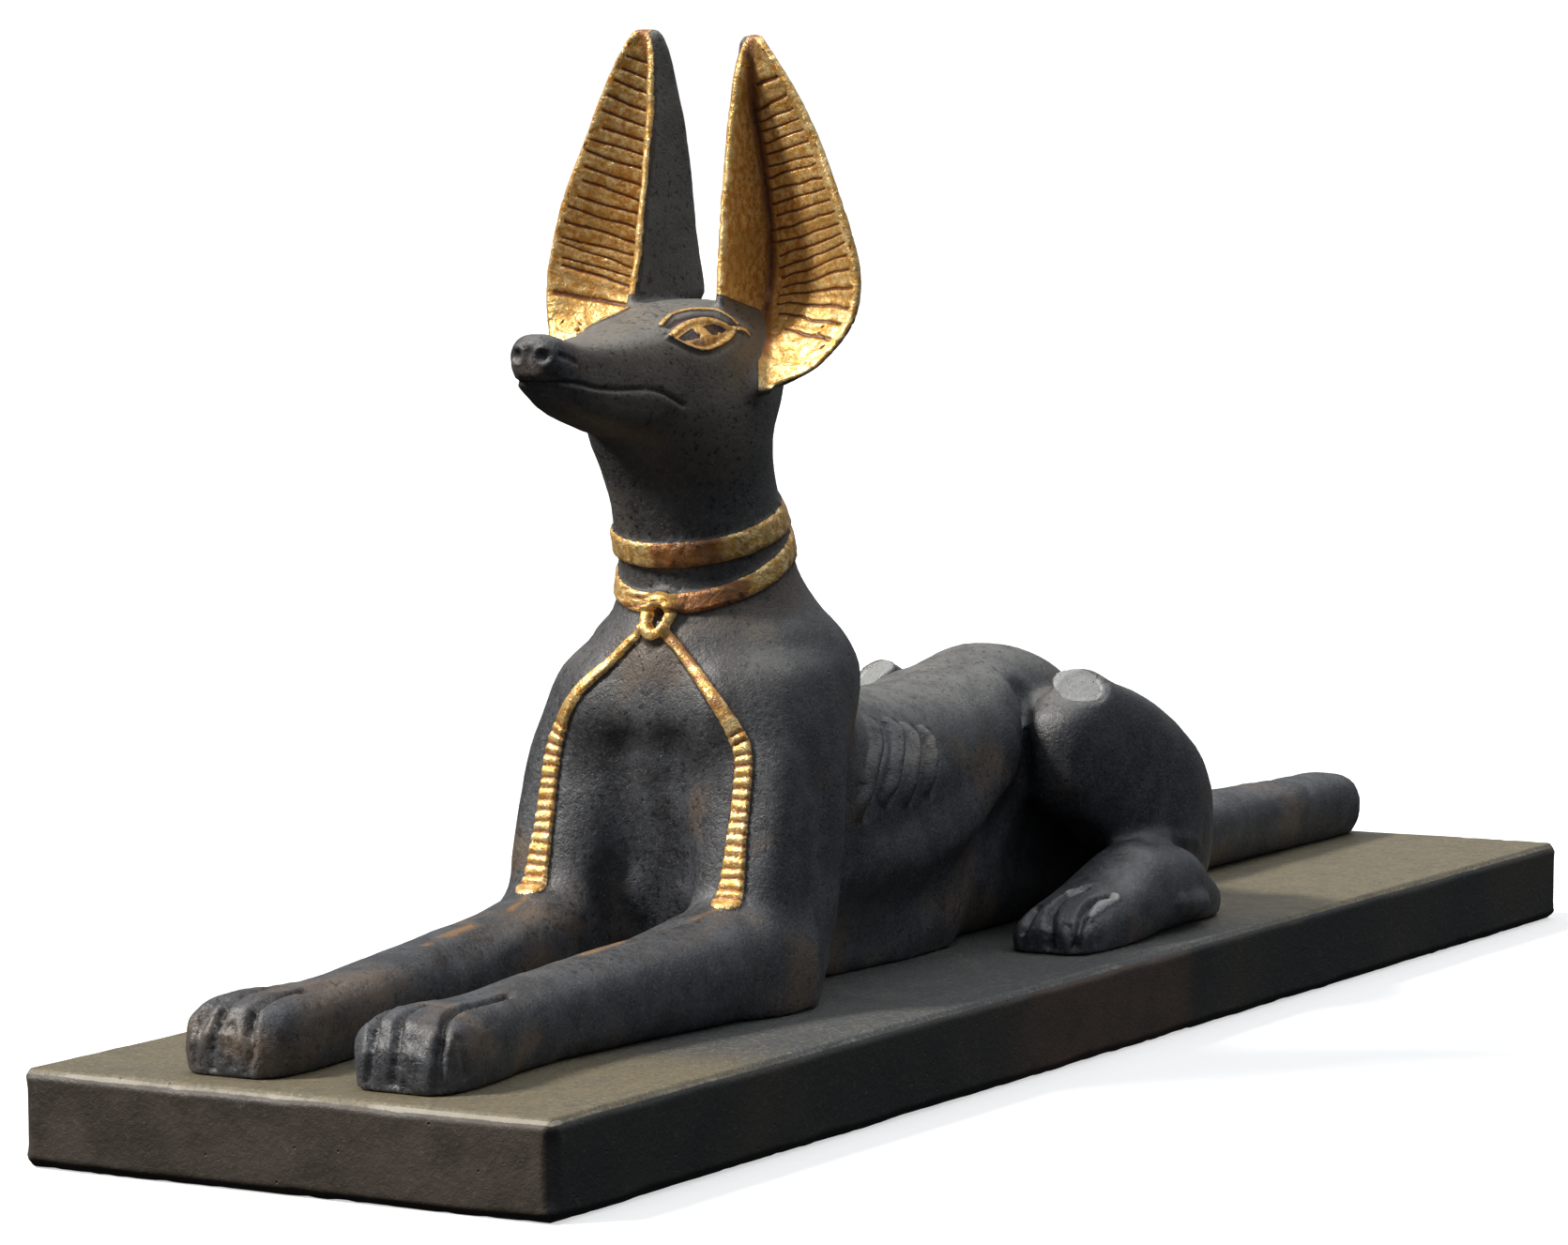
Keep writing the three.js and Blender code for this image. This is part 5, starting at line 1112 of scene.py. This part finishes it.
def figure_paint():
    """Black patina with dust, rubbed places and pits, and worn gilding over red, with painted light and shade:
    lighter upward faces and head top, painted highlights on crests and gold lumps, and painted shade in grooves,
    folds and the head's shadow on the neck bands.
    """
    p = Paint("patina_and_gilding")
    broad, middle, fine, dust = p.noise(26, 3), p.noise(6, 4, 0.6), p.noise(1.3, 4, 0.7), p.noise(0.6, 3, 0.7)
    rub = p.mark("rub")
    patina = p.mix(p.span(middle, 0.35, 0.7), (0.018, 0.020, 0.025), (0.046, 0.050, 0.060))
    worn = p.times(p.span(broad, 0.42, 0.6), p.span(rub, 0.4, 0.85))
    patina = p.mix(p.times(worn, 0.8), patina, (0.105, 0.070, 0.045))
    place = p.axes(p.coords)
    level, length = place["Z"], place["Y"]
    upward = p.axes(p.node("NewGeometry", {}, "Normal"))["Z"]
    # upward faces painted lighter grey, more so higher up: settled dust with painted light from above
    dust_and_top_light = p.times(p.span(upward, 0.45, 1.0), p.span(middle, 0.25, 0.65, 0.35, 0.85))
    dust_and_top_light = p.times(dust_and_top_light, p.span(level, 0.035, 0.085, 0.12, 0.9))
    # patina painted lighter from mid-height up, short of the nose: painted light from above
    pale = p.times(p.span(level, 0.05, 0.14), p.span(broad, 0.3, 0.62, 0.25, 0.75))
    pale = p.times(pale, p.span(length, -0.133, -0.126))
    patina = p.mix(pale, patina, (0.088, 0.078, 0.066))
    # top of the head painted lighter still: painted light from above
    head_top_light = p.times(p.span(level, 0.118, 0.142), p.span(middle, 0.3, 0.65, 0.4, 0.8))
    head_top_light = p.times(head_top_light, p.span(length, -0.133, -0.122))
    patina = p.mix(head_top_light, patina, (0.150, 0.138, 0.120))
    # lighter grey on upward faces: dust with painted light from above
    patina = p.mix(dust_and_top_light, patina, (0.160, 0.155, 0.142))
    patina = p.mix(p.span(dust, 0.54, 0.68, 0, 0.5), patina, (0.15, 0.138, 0.12))
    patina = p.mix(p.span(fine, 0.34, 0.46, 0.85, 0), patina, (0.006, 0.006, 0.007))
    patina = p.mix(p.span(p.mark("ochre"), 0.15, 0.8, 0, 0.75), patina, (0.25, 0.125, 0.035))
    # painted shade in the bottoms of grooves and in the hollows behind the ribs
    patina = p.mix(p.span(p.mark("groove_shade"), 0.15, 0.8, 0, 0.85), patina, (0.008, 0.007, 0.006))
    # rubbed places painted light grey: partly rubbing, partly a painted highlight on crests, ridges and the knee
    shine = p.times(p.mark("rub_and_highlight"), p.span(fine, 0.35, 0.6, 0.6, 1.0))
    patina = p.mix(p.span(shine, 0.25, 0.8, 0, 0.9), patina, (0.25, 0.255, 0.25))
    pits = p.span(p.cells(2.1), 0.0, 0.14, 1, 0)
    pits = p.times(pits, p.span(p.noise(8, 2), 0.47, 0.6))
    patina = p.mix(p.times(pits, 0.8), patina, (0.004, 0.003, 0.003))

    lump = p.noise(1.7, 4, 0.65)
    # high lumps of the gold painted pale, almost white: the leaf's own unevenness with painted glints
    leaf = p.mix(p.span(lump, 0.38, 0.64), (0.62, 0.31, 0.065), (1.0, 0.74, 0.35))
    leaf = p.mix(p.span(dust, 0.54, 0.68, 0, 0.6), leaf, (0.32, 0.125, 0.025))
    leaf = p.mix(p.span(p.noise(11, 2), 0.45, 0.65, 0, 0.5), leaf, (0.55, 0.33, 0.09))
    gap = p.math("ABSOLUTE", p.minus(p.mark("phase"), p.math("ROUND", p.mark("phase"))))
    gap = p.plus(gap, p.about(dust, 0.12))
    # carved lines of the ears are painted dark as shade
    line = p.times(p.span(gap, 0.05, 0.14, 0.86, 0), p.span(p.mark("ribbed"), 0.3, 0.7))
    # red bole where the gilding is worn, and painted shade in rungs, seams, ear lines, the ear's fold and the
    # head's shadow on the neck bands
    shade_and_bole = p.plus(p.mark("shade_and_bole"), p.about(lump, 0.7))
    shade_and_bole = p.math("MAXIMUM", shade_and_bole, line)
    leaf = p.mix(p.span(shade_and_bole, 0.2, 0.62, 0, 0.8), leaf, (0.21, 0.050, 0.012))
    leaf = p.mix(p.span(shade_and_bole, 0.6, 1.05, 0, 0.9), leaf, (0.040, 0.011, 0.006))

    edge = p.plus(p.mark("gold"), p.about(p.noise(0.8, 2), 0.3))
    gilt = p.span(edge, -0.05, 0.05)
    fringe = p.times(p.span(edge, -0.45, -0.1), 0.6)
    # painted shade in the crease under the brow
    under = p.span(p.mark("under"), 0.3, 0.7)
    dark = p.span(p.mark("dark"), 0.4, 0.6)
    colour = p.mix(fringe, patina, (0.030, 0.016, 0.012))
    colour = p.mix(under, colour, (0.050, 0.020, 0.022))
    colour = p.mix(gilt, colour, leaf)
    colour = p.mix(dark, colour, (0.032, 0.012, 0.014))
    bare = p.times(gilt, p.minus(1.0, dark))
    metal = p.times(bare, p.span(shade_and_bole, 0.2, 0.8, 0.55, 0.1))
    rough = p.minus(p.span(fine, 0.3, 0.7, 0.40, 0.60), p.times(p.mark("rub_and_highlight"), 0.1))
    rough = p.blend(gilt, rough, p.span(lump, 0.3, 0.7, 0.42, 0.27))
    stone = p.plus(p.times(fine, 0.8), p.times(dust, 0.5))
    stone = p.minus(stone, pits)
    gold_lumps = p.plus(p.times(lump, 1.4), p.times(dust, 0.6))
    gold_lumps = p.minus(gold_lumps, p.times(line, 1.2))
    relief = p.blend(gilt, stone, gold_lumps)
    p.set(Base_Color=colour, Metallic=metal, Roughness=rough, Normal=p.bump(relief, 0.26))
    p.shader.inputs["Specular IOR Level"].default_value = 0.6
    return p.material


def plinth_paint():
    """Black patina of the plinth, brown on its front, pale on the arris, with painted light and shade: lit olive
    ends of the top with the statue's painted shadow between them, a painted pool of light on the long sides, and
    a front partly painted lighter.
    """
    p = Paint("plinth_patina")
    top, worn = p.mark("top"), p.mark("worn")
    broad, middle, fine = p.noise(60, 3, 0.55, 0.4), p.noise(9, 4, 0.6), p.noise(1.2, 4, 0.65)
    face = p.mix(p.span(broad, 0.38, 0.66), (0.014, 0.015, 0.014), (0.030, 0.026, 0.019))
    # a warm brown painted pool of light on the long sides
    face = p.mix(p.times(p.mark("light_pool"), p.span(middle, 0.3, 0.6, 0.6, 1)), face, (0.062, 0.037, 0.025))
    # the front face is painted lighter brown than the sides: its brown paint with painted light
    front = p.span(p.mark("front"), 0.3, 0.7)
    end = p.mix(p.span(middle, 0.35, 0.7), (0.033, 0.024, 0.018), (0.046, 0.034, 0.025))
    face = p.mix(front, face, end)
    # the ends of the top are painted warm olive as painted light, and the blue-black middle is the statue's
    # painted shadow
    lid = p.mix(p.span(p.mark("lit_ends"), 0.2, 0.8), (0.050, 0.053, 0.055), (0.125, 0.103, 0.060))
    lid = p.mix(p.span(middle, 0.42, 0.72, 0, 0.45), lid, (0.060, 0.058, 0.046))
    dust = p.noise(0.7, 3, 0.7)
    lid = p.mix(p.span(dust, 0.54, 0.68, 0, 0.6), lid, (0.24, 0.21, 0.15))
    lid = p.mix(p.span(dust, 0.46, 0.34, 0, 0.6), lid, (0.028, 0.026, 0.020))
    colour = p.mix(p.span(top, 0.3, 0.7), face, lid)
    colour = p.mix(p.span(fine, 0.56, 0.8, 0, 0.35), colour, (0.16, 0.145, 0.12))
    holes = p.times(p.span(p.cells(2.6), 0.0, 0.13, 1, 0), p.span(p.noise(11, 2), 0.5, 0.6))
    colour = p.mix(p.times(holes, 0.85), colour, (0.008, 0.007, 0.006))
    rubbed = p.plus(worn, p.about(p.noise(2.4, 4, 0.65), 0.9))
    colour = p.mix(p.span(rubbed, 0.4, 0.8, 0, 0.85), colour, (0.27, 0.245, 0.195))
    colour = p.mix(p.span(p.mark("corner"), 0.3, 0.7, 0, 0.85), colour, (0.012, 0.013, 0.014))
    relief = p.plus(p.times(fine, 0.6), p.times(p.noise(0.4, 3, 0.6), 0.25))
    relief = p.minus(relief, p.times(holes, 1.2))
    p.set(Base_Color=colour, Roughness=p.span(middle, 0.3, 0.7, 0.5, 0.66), Normal=p.bump(relief, 0.3))
    return p.material


# The statue.

# Steps of the grids, in mm, and the share of the coarse grid's faces that is kept.
FINE, COARSE, FACES_KEPT = 0.6, 1.2, 0.19
# The right ear stands higher at its tip, growing over this height from this level.
RIGHT_EAR_RISE, EAR_RISE_FROM, EAR_RISE_OVER = 1.5, 152, 48


def figure():
    """The whole animal, carved and painted."""
    P, F = trace(*both_halves(body(COARSE)))
    P, T = collapse(P, F, FACES_KEPT, "rough_figure")
    half = body(FINE)
    grid = both_halves(half)
    tools = Carving(half)
    P = snap(grid, P)
    P, T = refine(P, T, tools.goal, 7)
    P = snap(grid, P)
    P = relax(grid, P, T, 4, P[:, 2] < FLOOR + 0.3)
    P = snap(grid, P, 2)
    bare, _ = sample(tools.bare.f, tools.bare.lo, tools.bare.step, folded(P))
    depth, marks = carve(P, tools, bare)
    depth *= step01(P[:, 2] - FLOOR - 0.9, 0.5)
    P = P - normals_of(P, T) * depth[:, None]
    P[:, 2] = np.maximum(P[:, 2], FLOOR)
    rise = np.clip((P[:, 2] - EAR_RISE_FROM) / EAR_RISE_OVER, 0, 1) ** 2
    P[:, 2] += RIGHT_EAR_RISE * np.where(P[:, 0] < -5, rise, 0)
    print("figure triangles", len(T))
    return mesh_object("jackal", P, T, marks, figure_paint())


def graded(a, b, step):
    """Places from a to b, close together near both ends."""
    ends = np.array([0, 0.4, 0.8, 1.2, 1.6, 2.0, 2.5, 3.2, 4.2])
    last = ends[-1]
    count = max(int((b - a - 2 * last) / step), 1)
    return np.concatenate([a + ends[:-1], np.linspace(a + last, b - last, count + 1), (b - ends[:-1])[::-1]])


# Width of the plinth's chamfers, extra width at the upright corners, bend of the chamfers (1 flat, 2 round), and
# spacing of the points.
CHAMFER, CORNER_EXTRA, CHAMFER_BEND, PLINTH_STEP = 1.7, 0.8, 1.06, 2.0
# Places along y: where the painted light on the ends of the top gives way to the blue-black painted shadow of
# the statue, and where the painted pool of light on the long sides begins and ends.
LIT_FRONT, LIT_REAR, LIGHT_POOL_FRONT, LIGHT_POOL_REAR = -150, 60, -52, 22


def slab():
    """The plinth: a chamfered slab with worn arrises, small chips and an uneven face."""
    low, high = (np.array(v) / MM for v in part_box("plinth"))
    axes = [graded(low[i], high[i], PLINTH_STEP) for i in range(3)]
    points, quads, start = [], [], 0
    for i in range(3):
        u, v = (i + 1) % 3, (i + 2) % 3
        U, V = np.meshgrid(axes[u], axes[v], indexing="ij")
        n, m = U.shape
        k = np.arange(n * m).reshape(n, m)
        q = np.stack([k[:-1, :-1], k[1:, :-1], k[1:, 1:], k[:-1, 1:]], -1).reshape(-1, 4)
        for end, turn in ((high, False), (low, True)):
            p = np.zeros((n * m, 3))
            p[:, i], p[:, u], p[:, v] = end[i], U.ravel(), V.ravel()
            points.append(p)
            quads.append((q[:, ::-1] if turn else q) + start)
            start += n * m
    P, Q = np.concatenate(points), np.concatenate(quads)
    _, first, where = np.unique(np.round(P, 3), axis=0, return_index=True, return_inverse=True)
    P, Q = P[first], where.ravel()[Q]
    wear = grain(P, 9, 41)
    upright = step01(np.minimum(np.abs(P[:, 2] - low[2]), np.abs(high[2] - P[:, 2])) - 2.6, 2)
    r = CHAMFER + CORNER_EXTRA * upright + 0.2 * wear + 0.4 * np.clip(grain(P, 4.1, 42) - 0.3, 0, 1)
    core = np.clip(P, low + r[:, None], high - r[:, None])
    out = P - core
    size = (np.abs(out) ** CHAMFER_BEND).sum(1) ** (1 / CHAMFER_BEND) + 1e-9
    near = np.sort(np.minimum(P - low, high - P), 1)[:, 1]
    normal = out / (np.linalg.norm(out, axis=1, keepdims=True) + 1e-9)
    P = core + out * (r / size)[:, None]
    arris = np.exp(-(near / 2.2) ** 2)
    chips = arris * 0.8 * np.clip(grain(P, 2.6, 45) - 0.45, 0, 1)
    dents = 0.07 * grain(P, 17, 43) + 0.05 * grain(P, 5, 44) + chips
    P = P - normal * np.maximum(dents + 0.12, 0)[:, None]
    top = step01(normal[:, 2] - 0.5, 0.25)
    front = step01(-0.5 - normal[:, 1], 0.25)
    # painted light on the two ends of the top, painted shadow of the statue between them
    lit_ends = np.maximum(step01(LIT_FRONT - P[:, 1], 45), step01(P[:, 1] - LIT_REAR, 60))
    lit_ends = np.clip(lit_ends + 0.25 * grain(P, 31, 47), 0, 1)
    slope = np.sort(np.abs(normal), 1)[:, 1]
    lip = step01(slope - 0.35, 0.2)
    worn = lip * np.where(P[:, 2] > high[2] - 2.4, np.where(P[:, 1] < low[1] + 4, 1.0, 0.55), 0)
    worn = worn * np.clip(0.8 + 0.5 * grain(P, 13, 46), 0, 1)
    corner = lip * (np.abs(normal[:, 2]) < 0.3)
    # painted pool of light on the long sides
    light_pool = step01(P[:, 1] - LIGHT_POOL_FRONT, 14) * step01(LIGHT_POOL_REAR - P[:, 1], 5)
    marks = dict(top=top, worn=worn, front=front, lit_ends=lit_ends, corner=corner, light_pool=light_pool)
    return mesh_object("plinth_slab", P, Q, marks, plinth_paint())


jackal = figure()
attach(jackal, "root")
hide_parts("anubis_figure")

plinth = slab()
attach(plinth, "root")
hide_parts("plinth")

# Floor, light and camera.

def floor_paint():
    """Pale, almost even floor, lit a little from itself."""
    p = Paint("pale_floor")
    p.set(Base_Color=p.mix(p.noise(300, 2), (0.49, 0.49, 0.49), (0.51, 0.51, 0.51)), Roughness=0.75)
    p.set(Emission_Color=(1, 1, 1), Emission_Strength=0.55)
    return p.material


def soft_sun(name, direction, strength, spread, colour=(1, 1, 1)):
    """A distant lamp, as wide as spread degrees."""
    light = bpy.data.lights.new(name, "SUN")
    light.energy = strength
    light.angle = math.radians(spread)
    light.color = colour
    linked(name, light).rotation_euler = Vector(direction).to_track_quat("Z", "Y").to_euler()


def square(half, height):
    """Corners of a level square about the origin."""
    return [(x, y, height) for x, y in ((-half, -half), (half, -half), (half, half), (-half, half))]


def studio_part(name, corners, faces, material):
    """A mesh of the studio that throws no light back onto the statue."""
    me = bpy.data.meshes.new(name)
    me.from_pydata(corners, [], faces)
    me.materials.append(material)
    ob = linked(name, me)
    ob.visible_diffuse = ob.visible_glossy = False
    return ob


# Half width of the floor and of the backdrop, and the backdrop's height, in metres.
FLOOR_HALF, BACKDROP_HALF, BACKDROP_HEIGHT = 40, 39, 60

floor = studio_part("floor", square(FLOOR_HALF, 0), [(0, 1, 2, 3)], floor_paint())

world = bpy.data.worlds.new("studio")
bpy.context.scene.world = world
world.use_nodes = True
# A soft light tent: bright overhead, dim near the floor.
nodes, links = world.node_tree.nodes, world.node_tree.links
way = nodes.new("ShaderNodeSeparateXYZ")
links.new(nodes.new("ShaderNodeTexCoord").outputs["Generated"], way.inputs[0])
tent = nodes.new("ShaderNodeMapRange")
for socket, value in zip(tent.inputs[1:5], (-0.2, 0.9, 0.02, 0.70)):
    socket.default_value = value
links.new(way.outputs["Z"], tent.inputs[0])
links.new(tent.outputs[0], nodes["Background"].inputs["Strength"])
nodes["Background"].inputs["Color"].default_value = (0.88, 0.94, 1, 1)

# A white backdrop all round, seen by the camera only, so that it adds no light of its own.
backdrop_paint = bpy.data.materials.new("backdrop")
backdrop_paint.use_nodes = True
shade = backdrop_paint.node_tree.nodes["Principled BSDF"].inputs
shade["Base Color"].default_value = (0, 0, 0, 1)
shade["Emission Color"].default_value = (1, 1, 1, 1)
shade["Emission Strength"].default_value = 1.0
backdrop = studio_part("backdrop", square(BACKDROP_HALF, -0.5) + square(BACKDROP_HALF, BACKDROP_HEIGHT),
                       [(0, 1, 5, 4), (1, 2, 6, 5), (2, 3, 7, 6), (3, 0, 4, 7), (4, 5, 6, 7)], backdrop_paint)
backdrop.visible_shadow = False

soft_sun("key", (-0.66, -0.60, 0.90), 5.0, 12, (1, 0.95, 0.88))
soft_sun("top", (0.15, 0.35, 1.0), 0.9, 50)

# The camera stands where the photograph was taken from: point it looks at, distance, sensor and lens, in mm.
TARGET, DISTANCE, SENSOR, LENS = (-27.24, 0, 82.31), 1132.2, 36, 125.15
AZIMUTH, ELEVATION, ROLL = math.radians(30.17), math.radians(4.58), math.radians(-0.152)
right = Vector((math.cos(AZIMUTH), math.sin(AZIMUTH), 0))
away = Vector((math.sin(AZIMUTH), -math.cos(AZIMUTH), 0))
back = away * math.cos(ELEVATION) + Vector((0, 0, math.sin(ELEVATION)))
up = back.cross(right)
side = right * math.cos(ROLL) + up * math.sin(ROLL)
top = up * math.cos(ROLL) - right * math.sin(ROLL)
place = Vector(TARGET) * MM + back * DISTANCE * MM
camera_data = bpy.data.cameras.new("camera")
camera_data.sensor_width = SENSOR
camera_data.lens = LENS
camera_data.clip_start, camera_data.clip_end = 0.01, 100
camera = linked("camera", camera_data)
camera.matrix_world = Matrix([(*row, at) for row, at in zip(zip(side, top, back), place)] + [(0, 0, 0, 1)])
bpy.context.scene.camera = camera
bpy.context.scene.view_settings.view_transform = "Standard"
